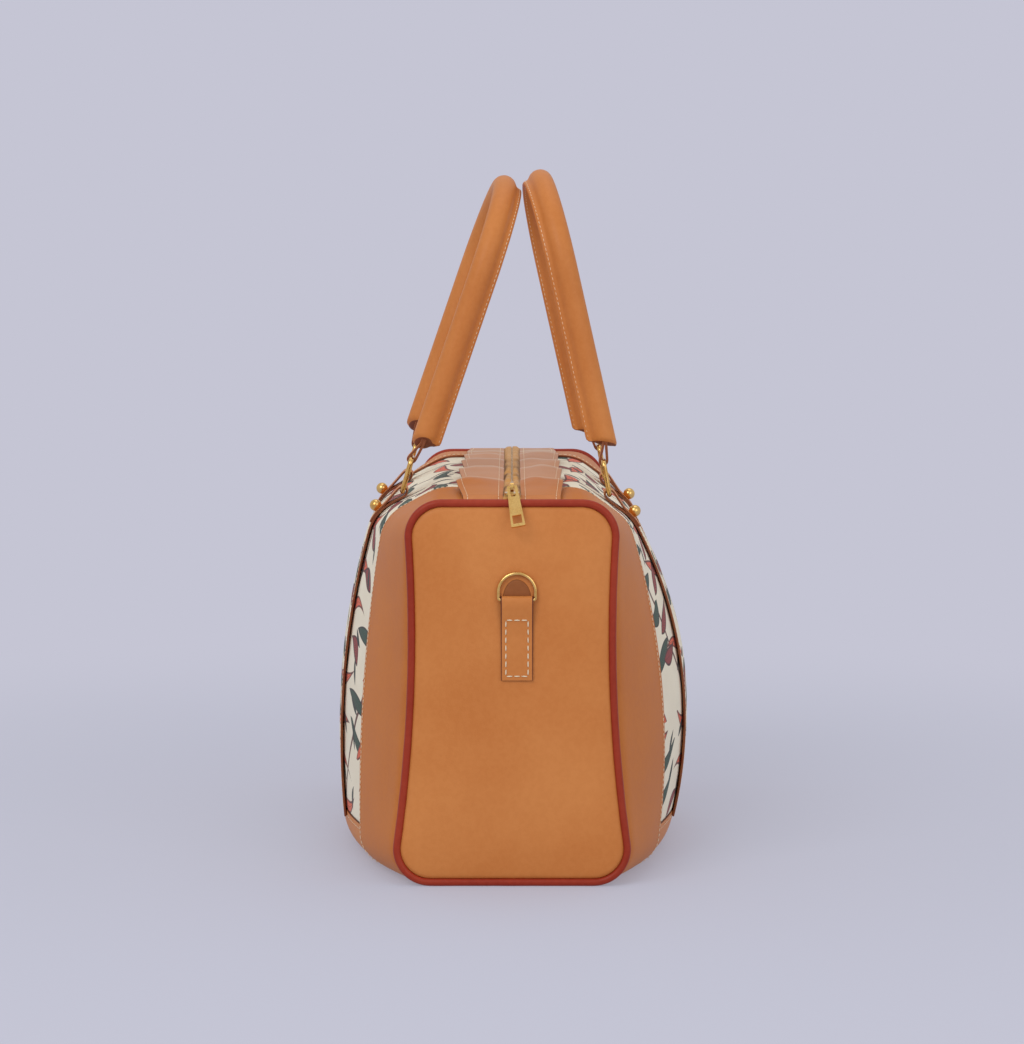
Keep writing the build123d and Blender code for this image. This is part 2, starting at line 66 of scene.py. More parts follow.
class Sock:
    def __init__(self, tree, socket):
        self.tree = tree
        self.socket = socket

    def math(self, operation, *others):
        node = self.tree.nodes.new("ShaderNodeMath")
        node.operation = operation
        for slot, value in zip(node.inputs, (self, *others)):
            plug(self.tree, slot, value)
        return Sock(self.tree, node.outputs[0])

    def __add__(self, other): return self.math("ADD", other)
    def __radd__(self, other): return self.math("ADD", other)
    def __sub__(self, other): return self.math("SUBTRACT", other)
    def __rsub__(self, other): return (self * -1).math("ADD", other)
    def __mul__(self, other): return self.math("MULTIPLY", other)
    def __rmul__(self, other): return self.math("MULTIPLY", other)
    def __truediv__(self, other): return self.math("DIVIDE", other)
    def __lt__(self, other): return self.math("LESS_THAN", other)
    def __abs__(self): return self.math("ABSOLUTE")
    def sin(self): return self.math("SINE")
    def cos(self): return self.math("COSINE")
    def floor(self): return self.math("FLOOR")
    def sqrt(self): return self.math("SQRT")


def plug(tree, slot, value):
    if isinstance(value, Sock):
        tree.links.new(value.socket, slot)
    elif hasattr(slot, "default_value"):
        if hasattr(slot.default_value, "__len__") and not hasattr(value, "__len__"):
            value = (value,) * len(slot.default_value)
        slot.default_value = value


class Finish:
    # One material: add() makes any node, mix() blends two colours
    def __init__(self, name, **principled):
        self.material = bpy.data.materials.new(name)
        self.material.use_nodes = True
        self.tree = self.material.node_tree
        self.shader = self.tree.nodes["Principled BSDF"]
        self.set(**principled)

    def set(self, **values):
        for key, value in values.items():
            plug(self.tree, self.shader.inputs[key.replace("_", " ")], value)

    def add(self, kind, output=0, settings=None, **inputs):
        node = self.tree.nodes.new("ShaderNode" + kind)
        for key, value in (settings or {}).items():
            if key == "stops":
                ramp = node.color_ramp
                while len(ramp.elements) < len(value):
                    ramp.elements.new(0.5)
                for stop, (place, colour) in zip(ramp.elements, value):
                    stop.position = place
                    stop.color = colour
            else:
                setattr(node, key, value)
        for key, value in inputs.items():
            plug(self.tree, node.inputs[key.replace("_", " ")], value)
        return Sock(self.tree, node.outputs[output])

    def coords(self):
        return self.add("TexCoord", output="Object")

    def uv(self):
        return self.add("TexCoord", output="UV")

    def split(self, vector):
        node = self.tree.nodes.new("ShaderNodeSeparateXYZ")
        plug(self.tree, node.inputs[0], vector)
        return [Sock(self.tree, socket) for socket in node.outputs]

    def join(self, x, y, z=0.0):
        return self.add("CombineXYZ", X=x, Y=y, Z=z)

    def noise(self, vector, scale, detail=2.0, rough=0.5, output=0):
        return self.add("TexNoise", output=output, Vector=vector, Scale=scale, Detail=detail, Roughness=rough)

    def ramp(self, value, low, high):
        # 0 below low, 1 above high, smooth between
        return self.add("MapRange", settings={"interpolation_type": "SMOOTHSTEP"}, Value=value,
                        From_Min=low, From_Max=high)

    def mix(self, factor, one, other):
        node = self.tree.nodes.new("ShaderNodeMix")
        node.data_type = "RGBA"
        for slot, value in zip((0, 6, 7), (factor, one, other)):  # The factor and the two colours
            plug(self.tree, node.inputs[slot], value)
        return Sock(self.tree, node.outputs[2])

    def bump(self, height, strength, distance):
        return self.add("Bump", Height=height, Strength=strength, Distance=distance)


hide = {"clouding": 11, "mottle": 240, "pores": 900, "creases": 60, "tinted": 0.35, "speckle": 0.10,
        "bump": 0.55, "grain": 0.00009, "edge": srgb(84, 36, 30), "edgeSoft": 0.0004}


def leatherFinish(name, *tones, rough=0.48, worn=None, edgeAt=None):
    # Smooth aniline leather: broad clouding, fine grain and pores, paler where a painted highlight and sheen
    # are laid on
    f = Finish(name, Specular_IOR_Level=0.24)
    base, dark, light = (srgb(*tone) for tone in tones)
    at = f.coords()
    cloud = f.noise(at, hide["clouding"], 3, 0.55)
    mottle = f.noise(at, hide["mottle"], 3, 0.65)
    pore = f.add("TexVoronoi", settings={"feature": "F1"}, Vector=at, Scale=hide["pores"])
    tint = f.mix(f.ramp(cloud, 0.28, 0.72), dark, light)
    tint = f.mix(hide["tinted"], base, tint)
    fleck = f.ramp(mottle, 0.36, 0.64)
    tint = f.mix(fleck * hide["speckle"], tint, light)
    tint = f.mix((1 - fleck) * hide["speckle"], tint, dark)
    # Painted highlight and sheen: a paler colour laid on as far as the mesh's weight says
    if worn:
        tint = f.mix(f.add("Attribute", output=2, settings={"attribute_name": "worn"}), tint, worn)
    if edgeAt:
        aside = abs(f.split(f.uv())[0])
        tint = f.mix(f.ramp(aside, edgeAt - hide["edgeSoft"], edgeAt), tint, hide["edge"])
    f.set(Base_Color=tint, Roughness=f.ramp(cloud, 0.2, 0.8) * 0.08 + (mottle * 0.10 + (rough - 0.09)))
    height = pore * 0.8 + mottle * 0.9 + f.noise(at, hide["creases"], 2) * 1.2
    f.set(Normal=f.bump(height, hide["bump"], hide["grain"]))
    return f.material


weaveLook = {"thread": 0.00042, "rough": 0.85, "gaps": (0.16, 0.62), "shade": (0.10, 0.72), "clouding": 16,
             "depth": 0.00008}  # Gaps and shade: their share, and how dark they are


def weaveAt(u, v, thread):
    return (u * (math.pi / thread)).sin() * (v * (math.pi / thread)).sin()


def clothFinish(name, ground, thread=weaveLook["thread"]):
    # Plain woven cloth, its threads counted in the piece's own UV metres
    f = Finish(name, Specular_IOR_Level=0.2, Sheen_Weight=0.25, Sheen_Roughness=0.5)
    u, v, _ = f.split(f.uv())
    weave = weaveAt(u, v, thread)
    masks = f.ramp(weave, -0.9, 0.9), f.ramp(f.noise(f.coords(), weaveLook["clouding"], 2), 0.3, 0.75)
    tint = ground
    for mask, (share, darker) in zip(masks, (weaveLook["gaps"], weaveLook["shade"])):
        tint = f.mix(mask * share, tint, tuple(c * darker for c in ground[:3]) + (1,))
    f.set(Base_Color=tint, Roughness=weaveLook["rough"], Normal=f.bump(weave, 0.5, weaveLook["depth"]))
    return f.material


metalLook = {"clouding": 130, "scratches": 900, "rough": 0.13, "bump": 0.25, "depth": 0.00003}


def metalFinish(name, tint, worn):
    f = Finish(name, Metallic=1.0)
    at = f.coords()
    cloud = f.noise(at, metalLook["clouding"], 3, 0.6)
    scratch = f.noise(at, metalLook["scratches"], 2, 0.7)
    f.set(Base_Color=f.mix(f.ramp(cloud, 0.35, 0.75), tint, worn),
          Roughness=cloud * 0.12 + scratch * 0.08 + metalLook["rough"],
          Normal=f.bump(scratch, metalLook["bump"], metalLook["depth"]))
    return f.material


# Printed cloth: stems, and four layers of simple botanical shapes laid out by random cells. Cells are
# counted per metre, across and down; half length and width are in cells, tilt and its spread in radians

printLayers = [
    {"kind": "leaf", "cells": (12, 39), "long": 1.05, "wide": 0.22, "tilt": 1.36, "spread": 0.22,
     "ink": srgb(22, 34, 30), "tone": srgb(46, 76, 60), "shown": 0.62, "seed": 0.0},
    {"kind": "petal", "cells": (11, 34), "long": 1.15, "wide": 0.24, "tilt": -1.38, "spread": 0.22,
     "ink": srgb(196, 60, 34), "tone": srgb(226, 100, 64), "shown": 0.66, "seed": 3.7},
    {"kind": "petal", "cells": (15, 37), "long": 0.72, "wide": 0.30, "tilt": 1.2, "spread": 0.3,
     "ink": srgb(88, 20, 26), "tone": srgb(146, 44, 42), "shown": 0.50, "seed": 8.1},
    {"kind": "leaf", "cells": (30, 44), "long": 0.44, "wide": 0.12, "tilt": 0.5, "spread": 0.9,
     "ink": srgb(20, 24, 24), "tone": srgb(38, 50, 44), "shown": 0.55, "seed": 12.3},
]


printLook = {"ground": srgb(240, 230, 206), "cloud": srgb(226, 214, 188), "stem": srgb(92, 46, 38),
             "outline": srgb(40, 20, 22), "gaps": srgb(120, 105, 88), "thread": 0.0005, "stems": 12,
             "stemLean": 5, "stemEdge": (0.012, 0.030), "winding": (26, 0.012), "wander": (14, 0.02),
             "scatter": 0.18, "curl": 1.1, "taper": (0.42, 0.72), "ribs": (60, 70), "depth": 0.00008}


def printFinish(name):
    look = printLook
    f = Finish(name, Specular_IOR_Level=0.22, Sheen_Weight=0.15, Sheen_Roughness=0.5)
    uv = f.uv()
    u, v, _ = f.split(uv)
    tint = f.mix(f.ramp(f.noise(uv, 30, 2), 0.3, 0.7) * 0.30, look["ground"], look["cloud"])
    # Stems that wind down the cloth
    turns, swing = look["winding"]
    wander = f.split(f.noise(uv, look["wander"][0], 1, output=1))[0]
    stemU = u + (v * turns).sin() * swing + (wander - 0.5) * look["wander"][1]
    stem = abs((stemU * look["stems"] + v * look["stemLean"]).math("FRACT") - 0.5)
    tint = f.mix(1 - f.ramp(stem, *look["stemEdge"]), tint, look["stem"])
    for layer in printLayers:
        cx, cy = layer["cells"]
        gx = u * cx + (v * cy).sin() * 0.12 + layer["seed"]
        gy = v * cy + (u * cx).sin() * 0.10 + layer["seed"] * 1.7
        cellX, cellY = gx.floor(), gy.floor()
        pick = f.add("TexWhiteNoise", output=1, settings={"noise_dimensions": "2D"},
                     Vector=f.join(cellX, cellY))
        pickA, pickB, pickC = f.split(pick)
        px = (gx - cellX - 0.5 - (pickA - 0.5) * look["scatter"]) / (cx / cy)
        py = gy - cellY - 0.5 - (pickB - 0.5) * look["scatter"]
        turn = (pickC - 0.5) * (2 * layer["spread"]) + layer["tilt"]
        lengthwise = px * turn.sin() + py * turn.cos()
        aside = px * turn.cos() - py * turn.sin()
        aside = aside + (lengthwise * lengthwise) * ((pickA - 0.5) * look["curl"])
        reach = lengthwise / layer["long"]
        swell = 1 - reach * reach
        if layer["kind"] == "petal":
            swell = swell * (reach * look["taper"][0] + look["taper"][1])
        edge = abs(aside) / layer["wide"] - swell
        rim = 1 - f.ramp(abs(edge + 0.10), 0.05, 0.16)
        vein = 1 - f.ramp(abs(aside), 0.003, 0.012)
        ribs = f.ramp((lengthwise * look["ribs"][0] + abs(aside) * look["ribs"][1]).sin(), 0.35, 0.9)
        inside = f.mix(ribs * 0.7, layer["tone"], layer["ink"])
        inside = f.mix(rim * 0.85 + vein * 0.6, inside, look["outline"])
        shown = (pickB < layer["shown"]) * (abs(reach) < 1.0)
        tint = f.mix((1 - f.ramp(edge, -0.05, 0.05)) * shown, tint, inside)
    weave = weaveAt(u, v, look["thread"])
    tint = f.mix(f.ramp(weave, -0.9, 0.9) * 0.07, tint, look["gaps"])
    f.set(Base_Color=tint, Roughness=0.82, Normal=f.bump(weave, 0.4, look["depth"]))
    return f.material


print("materials")
tan = leatherFinish("tan_leather", (202, 124, 61), (186, 108, 48), (215, 143, 80))
# The bands take a darker copy of the tan leather: painted shade on their sides
bandShadedTan = leatherFinish("band_leather_shaded", (194, 113, 46), (180, 100, 38), (208, 130, 60))
# The pleats' pale colour is painted light: a highlight along each crest and a sheen on the far pleats
pleatTan = leatherFinish("pleat_leather", (190, 116, 62), (172, 100, 50), (204, 134, 82),
                         worn=srgb(206, 178, 156))
tabTan = leatherFinish("tab_leather", (200, 124, 62), (186, 110, 50), (214, 142, 80), edgeAt=0.0106)
tanEdge = leatherFinish("cut_edge", (124, 66, 40), (98, 48, 30), (150, 90, 58), rough=0.6)
patchTan = leatherFinish("patch_leather", (148, 86, 42), (128, 70, 32), (166, 104, 58))
# Dark leather for the hollow inside the handle covers: painted shade in the cuff mouths
insideShade = leatherFinish("inside_painted_shade", (74, 40, 26), (54, 28, 18), (96, 56, 36), rough=0.8)
rust = leatherFinish("rust_leather", (152, 46, 22), (126, 32, 14), (176, 68, 40), rough=0.42)
printed = printFinish("printed_cloth")
mustard = clothFinish("zip_cloth", srgb(204, 148, 76), thread=0.0006)
liningCloth = clothFinish("lining_cloth", srgb(88, 60, 44))
thread = clothFinish("thread", srgb(238, 222, 190), thread=0.0004)
brass = metalFinish("brass", srgb(232, 190, 118), srgb(206, 158, 86))
paleCore = clothFinish("core", srgb(214, 208, 194))
greyBoard = clothFinish("board", srgb(120, 108, 92))


# The bag's skin: the outline across the bag, and how it swells from the ends to the middle

bagLaw = {
    "halfLength": 0.215,
    "top": (0.2648, 0.2698),
    "under": (0.0034, -0.0006),
    "mouthHalf": 0.017,
    "baseSeam": 0.028,
    "bottomRound": 0.022,
    "cornerRound": (0.022, 0.034),
    "front": {"way": -1, "bottom": (0.0825, 0.121), "waist": (0.069, 0.1265), "waistHeight": (0.135, 0.120),
              "shoulder": (0.071, 0.101), "roof": (0.0563, 0.048), "drop": (0.013, 0.0244)},
    "back": {"way": 1, "bottom": (0.0825, 0.112), "waist": (0.069, 0.127), "waistHeight": (0.135, 0.135),
             "shoulder": (0.071, 0.0876), "roof": (0.0563, 0.045), "drop": (0.013, 0.030)},
    "centre": 0.135,
    "samples": 900,
    "sideSamples": 80,
    "bendSamples": 16,
}
tiny, close = 1e-5, 1e-7  # A step along a line that reads its direction, and what counts as the same place


def atX(pair, x):
    end, middle = pair
    return end + (middle - end) * (1 - (x / bagLaw["halfLength"]) ** 2)


def lengths(points):
    return np.concatenate(([0.0], np.cumsum(np.linalg.norm(np.diff(points, axis=0), axis=1))))


def along(points, distance):
    run = lengths(points)
    return np.array([np.interp(distance, run, points[:, i]) for i in range(points.shape[1])]).T


def even(points, count):
    return along(points, np.linspace(0, lengths(points)[-1], count))


def unit(vector):
    return vector / np.linalg.norm(vector)


def roundCorner(points, corner, radius):
    k = int(np.argmin(np.linalg.norm(points - corner, axis=1)))
    into = unit(points[k] - points[k - 1])
    away = unit(points[k + 1] - points[k])
    turn = math.acos(np.clip(into @ away, -1, 1))
    cut = radius * math.tan(turn / 2)
    run = lengths(points)
    start, stop = run[k] - cut, run[k] + cut
    a, b = along(points, start), along(points, stop)
    tangentA = unit(along(points, start + tiny) - along(points, start - tiny))
    tangentB = unit(along(points, stop + tiny) - along(points, stop - tiny))
    handle = 4 / 3 * math.tan(turn / 4) * radius
    t = np.linspace(0, 1, bagLaw["bendSamples"])[:, None]
    bend = ((1 - t) ** 3 * a + 3 * (1 - t) ** 2 * t * (a + tangentA * handle)
            + 3 * (1 - t) * t * t * (b - tangentB * handle) + t ** 3 * b)
    return np.vstack((points[run < start - close], bend, points[run > stop + close]))


def arcThrough(first, middle, last, count):
    # Points on the circle through three points
    (x1, y1), (x2, y2), (x3, y3) = first, middle, last
    d = 2 * (x1 * (y2 - y3) + x2 * (y3 - y1) + x3 * (y1 - y2))
    s1, s2, s3 = x1 ** 2 + y1 ** 2, x2 ** 2 + y2 ** 2, x3 ** 2 + y3 ** 2
    cx = (s1 * (y2 - y3) + s2 * (y3 - y1) + s3 * (y1 - y2)) / d
    cy = (s1 * (x3 - x2) + s2 * (x1 - x3) + s3 * (x2 - x1)) / d
    radius = math.hypot(x1 - cx, y1 - cy)
    a1, a3 = math.atan2(y1 - cy, x1 - cx), math.atan2(y3 - cy, x3 - cx)
    if abs(a3 - a1) > math.pi:
        a3 += 2 * math.pi if a3 < a1 else -2 * math.pi
    turn = np.linspace(a1, a3, count)
    return np.column_stack((cx + radius * np.cos(turn), cy + radius * np.sin(turn)))


def sideCurve(x, law):
    # From the middle of the top, over the shoulder and down the side, to the middle of the base
    top, under = atX(bagLaw["top"], x), atX(bagLaw["under"], x)
    roof = np.array((atX(law["roof"], x), top))
    shoulder = np.array((atX(law["shoulder"], x), top - atX(law["drop"], x)))
    waist = np.array((atX(law["waist"], x), atX(law["waistHeight"], x)))
    bottom = np.array((atX(law["bottom"], x), under))
    side = arcThrough(shoulder, waist, bottom, bagLaw["sideSamples"])
    points = np.vstack(((0, top), roof, side, (0, under)))
    rounding = atX(bagLaw["cornerRound"], x)
    for corner, radius in ((roof, rounding), (shoulder, rounding), (bottom, bagLaw["bottomRound"])):
        points = roundCorner(points, corner, radius)
    points[:, 0] *= law["way"]
    return points


loops = {}


def loopAt(x):
    # The whole outline at x, from the middle of the top down the front, under, and up the back
    key = round(abs(x), 6)
    if key not in loops:
        front = sideCurve(key, bagLaw["front"])
        back = sideCurve(key, bagLaw["back"])
        points = even(np.vstack((front, back[::-1][1:])), bagLaw["samples"])
        slope = np.gradient(points, axis=0)
        slope[0] = slope[-1] = (-1, 0)
        slope /= np.linalg.norm(slope, axis=1)[:, None]
        run = lengths(points)
        lowest = int(np.argmin(np.abs(points[:, 0]) + (points[:, 1] > 0.1)))  # Not the middle of the top
        frontPart = slice(lowest // 3, lowest)
        backPart = slice(lowest, lowest + (len(points) - lowest) * 2 // 3)
        frontSeam = np.interp(-bagLaw["baseSeam"], -points[frontPart, 1], run[frontPart])
        backSeam = np.interp(bagLaw["baseSeam"], points[backPart, 1], run[backPart])
        loops[key] = {"points": points, "out": np.column_stack((slope[:, 1], -slope[:, 0])), "run": run,
                      "long": run[-1], "frontSeam": frontSeam, "backSeam": backSeam, "lowest": run[lowest]}
    return loops[key]


def skin(x, s, out=0.0):
    # The point at distance s round the outline at x, and the way out there
    loop = loopAt(x)
    y, z = (np.interp(s, loop["run"], loop["points"][:, i]) for i in (0, 1))
    ny, nz = (np.interp(s, loop["run"], loop["out"][:, i]) for i in (0, 1))
    return Vector((x, y + ny * out, z + nz * out)), Vector((0, ny, nz)).normalized()


def seamAt(x, side):
    loop = loopAt(x)
    return loop["frontSeam"] if side == "front" else loop["backSeam"]


def mouthAt(x, side):
    return bagLaw["mouthHalf"] if side == "front" else loopAt(x)["long"] - bagLaw["mouthHalf"]


def sAtY(x, y, side):
    # Distance round the outline to the place on the roof that is y out from the middle
    loop = loopAt(x)
    count = len(loop["run"]) // 5  # The roof and shoulder lie in the first and last fifths
    if side == "front":
        return np.interp(y, -loop["points"][:count, 0], loop["run"][:count])
    return np.interp(-y, -loop["points"][-count:, 0], loop["run"][-count:])


def heading(points, s, step=0.0005):
    # The way along a run of points at distance s
    total = lengths(points)[-1]
    return Vector(along(points, min(s + step, total))) - Vector(along(points, max(s - step, 0)))


def clouds(point, scale, seed=0.0):
    return noise.noise(Vector(point) * scale + Vector((seed, seed * 1.7, -seed)))


def softness(point, layers):
    # Clouded rise and fall: the scale, seed and height of each layer
    return sum(clouds(point, scale, seed) * tall for scale, seed, tall in layers)


# Mesh helpers

def toObject(name, bm, *materials, smooth=True):
    mesh = bpy.data.meshes.new(name)
    bm.to_mesh(mesh)
    bm.free()
    obj = bpy.data.objects.new(name, mesh)
    scene.collection.objects.link(obj)
    for material in materials:
        mesh.materials.append(material)
    if smooth:
        mesh.shade_smooth()
    return obj


def gridMesh(across, down, place, wrap=False, flip=True):
    # A grid whose point (u, v), each 0 to 1, goes to place(u, v); its UV map is in metres
    bm = bmesh.new()
    bmesh.ops.create_grid(bm, x_segments=across, y_segments=down, size=0.5)
    uvMap = bm.loops.layers.uv.new("metres")
    # A third value from place weighs a painted highlight and sheen
    worn = bm.verts.layers.float.new("worn")
    flat = {}
    for vert in bm.verts:
        u, v = vert.co.x + 0.5, vert.co.y + 0.5
        vert.co, flat[vert], *more = place(u, v)
        vert[worn] = more[0] if more else 0.0
    for face in bm.faces:
        for corner in face.loops:
            corner[uvMap].uv = flat[corner.vert]
    if flip:
        bmesh.ops.reverse_faces(bm, faces=bm.faces)
    return mergeDoubles(bm) if wrap else bm


def mergeDoubles(bm):
    bmesh.ops.remove_doubles(bm, verts=bm.verts, dist=1e-6)
    return bm


def areaOf(bm):
    return sum(face.calc_area() for face in bm.faces)


def thicken(obj, wall, middle=False, bevel=0.0, levels=1):
    # The wall goes inwards from the modelled face, or half each way; its rim takes the second material
    solid = obj.modifiers.new("wall", "SOLIDIFY")
    solid.thickness = wall
    solid.offset = 0 if middle else -1
    solid.use_even_offset = True
    if len(obj.data.materials) > 1:
        solid.material_offset_rim = 1
    if bevel:
        soft = obj.modifiers.new("edge", "BEVEL")
        soft.width = bevel
        soft.segments = 2
        soft.limit_method = "ANGLE"
        soft.angle_limit = math.radians(50)
    return smoothed(obj, levels) if levels else obj


def smoothed(obj, levels=1):
    fine = obj.modifiers.new("smooth", "SUBSURF")
    fine.levels = fine.render_levels = levels
    return obj


def roundRoll(name, points, radius, swells, material, sides=12):
    # A round bar on a closed line of points, thicker or thinner by swells, by a curve made a mesh
    curve = bpy.data.curves.new(name, "CURVE")
    curve.dimensions = "3D"
    curve.bevel_depth = radius
    curve.bevel_resolution = sides // 2
    spline = curve.splines.new("POLY")
    spline.points.add(len(points) - 1)
    for slot, point, swell in zip(spline.points, points, swells):
        slot.co = (*point, 1)
        slot.radius = swell
    spline.use_cyclic_u = True
    holder = bpy.data.objects.new(name + "_path", curve)
    scene.collection.objects.link(holder)
    bpy.context.view_layer.update()
    mesh = bpy.data.meshes.new_from_object(holder.evaluated_get(bpy.context.evaluated_depsgraph_get()))
    bpy.data.objects.remove(holder)
    bm = bmesh.new()
    bm.from_mesh(mesh)
    mergeDoubles(bm)
    bmesh.ops.recalc_face_normals(bm, faces=bm.faces)
    bpy.data.meshes.remove(mesh)
    return toObject(name, bm, material)


stitch = {"pitch": 0.0036, "long": 0.0026, "thick": 0.00042, "sink": 0.00008, "probe": 0.0004,
          "askew": 0.05, "uneven": (0.93, 1.05), "sides": 6, "rings": 5}


def stitchRun(name, lines, **other):
    # One thread segment per step along each line of (point, way out) pairs
    cut = {**stitch, **other}
    bm = bmesh.new()
    for line in lines:
        points, outs = (np.array([tuple(pair[i]) for pair in line]) for i in (0, 1))
        run = lengths(points)
        count = max(1, int(run[-1] / cut["pitch"]))
        for i in range(count):
            s = (i + 0.5) * run[-1] / count
            ahead = heading(points, s, cut["probe"]).normalized()
            out = Vector([np.interp(s, run, outs[:, k]) for k in range(3)]).normalized()
            side = out.cross(ahead).normalized()
            lift = ahead.cross(side).normalized()
            ahead = (ahead + side * random.uniform(-cut["askew"], cut["askew"])).normalized()
            turn = Matrix((lift, lift.cross(ahead).normalized(), ahead)).transposed().to_4x4()
            half = cut["long"] / 2 * random.uniform(*cut["uneven"])
            size = Matrix.Diagonal((cut["thick"] / 2, cut["thick"] / 2, half, 1))
            spot = Matrix.Translation(Vector(along(points, s)) + lift * (cut["thick"] / 2 - cut["sink"]))
            bmesh.ops.create_uvsphere(bm, u_segments=cut["sides"], v_segments=cut["rings"], radius=1,
                                      matrix=spot @ turn @ size)
    bmesh.ops.recalc_face_normals(bm, faces=bm.faces)
    return toObject(name, bm, thread)


def dress(obj, body, slot, *nodes):
    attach(obj, body)
    if nodes:
        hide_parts(*nodes)
    return obj


# Printed cloth side panels

print("cloth panels")
panel = {"end": 0.1425, "across": 56, "down": 84, "wall": 0.0014, "creep": 0.0009,
         "soft": ((22, 3, 0.6), (55, 9, 0.25)), "heldTop": 0.1, "heldFoot": 0.06, "heldEnds": 0.08,
         "printShift": {"front": 0, "back": 1.3}}  # The back shows another stretch of the print


def clothPlace(side):
    def place(u, v):
        x = (u * 2 - 1) * panel["end"]
        start, stop = mouthAt(x, side), seamAt(x, side)
        s = start + (stop - start) * v
        point, out = skin(x, s)
        drop = abs(s - start)
        held = min(1.0, v / panel["heldTop"], (1 - v) / panel["heldFoot"],
                   (1 - abs(u * 2 - 1)) / panel["heldEnds"])
        rise = softness((x, drop, 0), panel["soft"]) * panel["creep"] * max(held, 0)
        return point + out * rise, (x, drop + panel["printShift"][side])
    return place


for side in sides:
    bm = gridMesh(panel["across"], panel["down"], clothPlace(side), flip=side == "front")
    cut = (2 * panel["end"], areaOf(bm) / (2 * panel["end"]))
    cloth = toObject(f"{side}_cloth", bm, printed)
    print(f"{side} cloth cut", cut)
    thicken(cloth, panel["wall"])
    dress(cloth, "bag", "printed_cloth", f"{side}_panel")


# Leather base, sewn over the foot of the cloth

print("base")
base = {"out": 0.0009, "wall": 0.0013, "rise": 0.0004, "down": 52, "across": 40, "stitchIn": 0.0032,
        "stitchEnds": 0.006, "stitchSamples": 90}


def basePlace(u, v):
    x = (u * 2 - 1) * panel["end"]
    start, stop = seamAt(x, "front"), seamAt(x, "back")
    s = start + (stop - start) * v
    point, _ = skin(x, s, base["out"])
    point.z = max(point.z, base["rise"])
    return point, (x, s)


baseLeather = toObject("base_leather", gridMesh(base["across"], base["down"], basePlace), tan, tanEdge)
thicken(baseLeather, base["wall"], bevel=0.0003)
dress(baseLeather, "bag", "tan_leather", "base_panel")
reach = panel["end"] - base["stitchEnds"]
runs = [[skin(x, seamAt(x, side) - bagLaw[side]["way"] * base["stitchIn"], base["out"])
         for x in np.linspace(-reach, reach, base["stitchSamples"])] for side in sides]
dress(stitchRun("base_stitches", runs), "bag", "tan_leather")


# Leather end bands, wrapped round the bag behind each end seam and lapped over the cloth

print("end bands")
band = {"from": 0.135, "to": 0.2108, "out": 0.0018, "wall": 0.0016, "rise": 0.0004, "across": 14, "down": 150,
        "crowd": 1.25, "tuck": 0.0030, "tuckRun": 0.0055, "tuckCurve": 2.2, "heldSeam": 0.02, "heldLap": 0.006,
        "soft": ((26, 5, 0.0005), (9, 2, 0.0008)),
        "stitchIn": 0.0034, "stitchSamples": 420, "stitchThick": 0.0006}


def bandS(x, v):
    # v from 0 at the front mouth, through 0.5 under the bag, to 1 at the back mouth
    loop = loopAt(x)
    if v < 0.5:
        return bagLaw["mouthHalf"] + (loop["lowest"] - bagLaw["mouthHalf"]) * v * 2
    last = loop["long"] - bagLaw["mouthHalf"]
    return loop["lowest"] + (last - loop["lowest"]) * (v * 2 - 1)


def bandOut(x):
    # The leather turns down into the end seam
    near = max(0.0, (abs(x) - (band["to"] - band["tuckRun"])) / band["tuckRun"])
    return band["out"] - band["tuck"] * near ** band["tuckCurve"]


def bandPlace(way):
    def place(u, v):
        share = 1 - (1 - u) ** band["crowd"]
        x = way * (band["from"] + (band["to"] - band["from"]) * share)
        s = bandS(x, v)
        point, out = skin(x, s, bandOut(x))
        held = min(1.0, (band["to"] - abs(x)) / band["heldSeam"], (abs(x) - band["from"]) / band["heldLap"])
        point += out * softness(point, band["soft"]) * max(held, 0)
        point.z = max(point.z, band["rise"])
        return point, (x, s)
    return place


for end, way in ends:
    place = bandPlace(way)
    bm = gridMesh(band["across"], band["down"], place, flip=way > 0)
    leather = toObject(f"band_{end}", bm, bandShadedTan, tanEdge)
    thicken(leather, band["wall"], bevel=0.0003)
    dress(leather, "bag", "tan_leather", f"end_band_{end}")
    x = way * (band["from"] + band["stitchIn"])
    column = 1 - (1 - band["stitchIn"] / (band["to"] - band["from"])) ** (1 / band["crowd"])
    run = [(place(column, v)[0], skin(x, bandS(x, v))[1])
           for v in np.linspace(0.01, 0.99, band["stitchSamples"])]
    dress(stitchRun(f"band_stitches_{end}", [run], thick=band["stitchThick"]), "bag", "tan_leather")


# Rust piping and the domed end panels

print("ends")
piping = {"x": 0.214, "out": 0.0007, "radius": 0.0027, "samples": 420, "uneven": 0.035, "lumps": 90}
dome = {"x": 0.214, "rim": -0.0024, "swell": 0.0044, "power": 5.0, "rings": 36, "around": 300, "wall": 0.0014,
        "crowd": 1.35, "rollIn": 0.0022, "rollRings": 1.5, "soft": ((13, 11, 0.0008), (34, 4, 0.0003))}
endLong = loopAt(bagLaw["halfLength"])["long"]


def domePlace(way):
    def place(u, v):
        point, _ = skin(bagLaw["halfLength"], endLong * u, dome["rim"])
        share = 1 - v ** dome["crowd"]
        y, z = point.y * share, bagLaw["centre"] + (point.z - bagLaw["centre"]) * share
        rise = dome["swell"] * (1 - share ** dome["power"])
        tuck = dome["rollIn"] * max(0.0, 1 - v * dome["rings"] / dome["rollRings"]) ** 2
        x = dome["x"] + rise - tuck + softness((0, y, z), dome["soft"]) * (1 - share ** 4)
        return Vector((way * x, y, z)), (y, z)
    return place


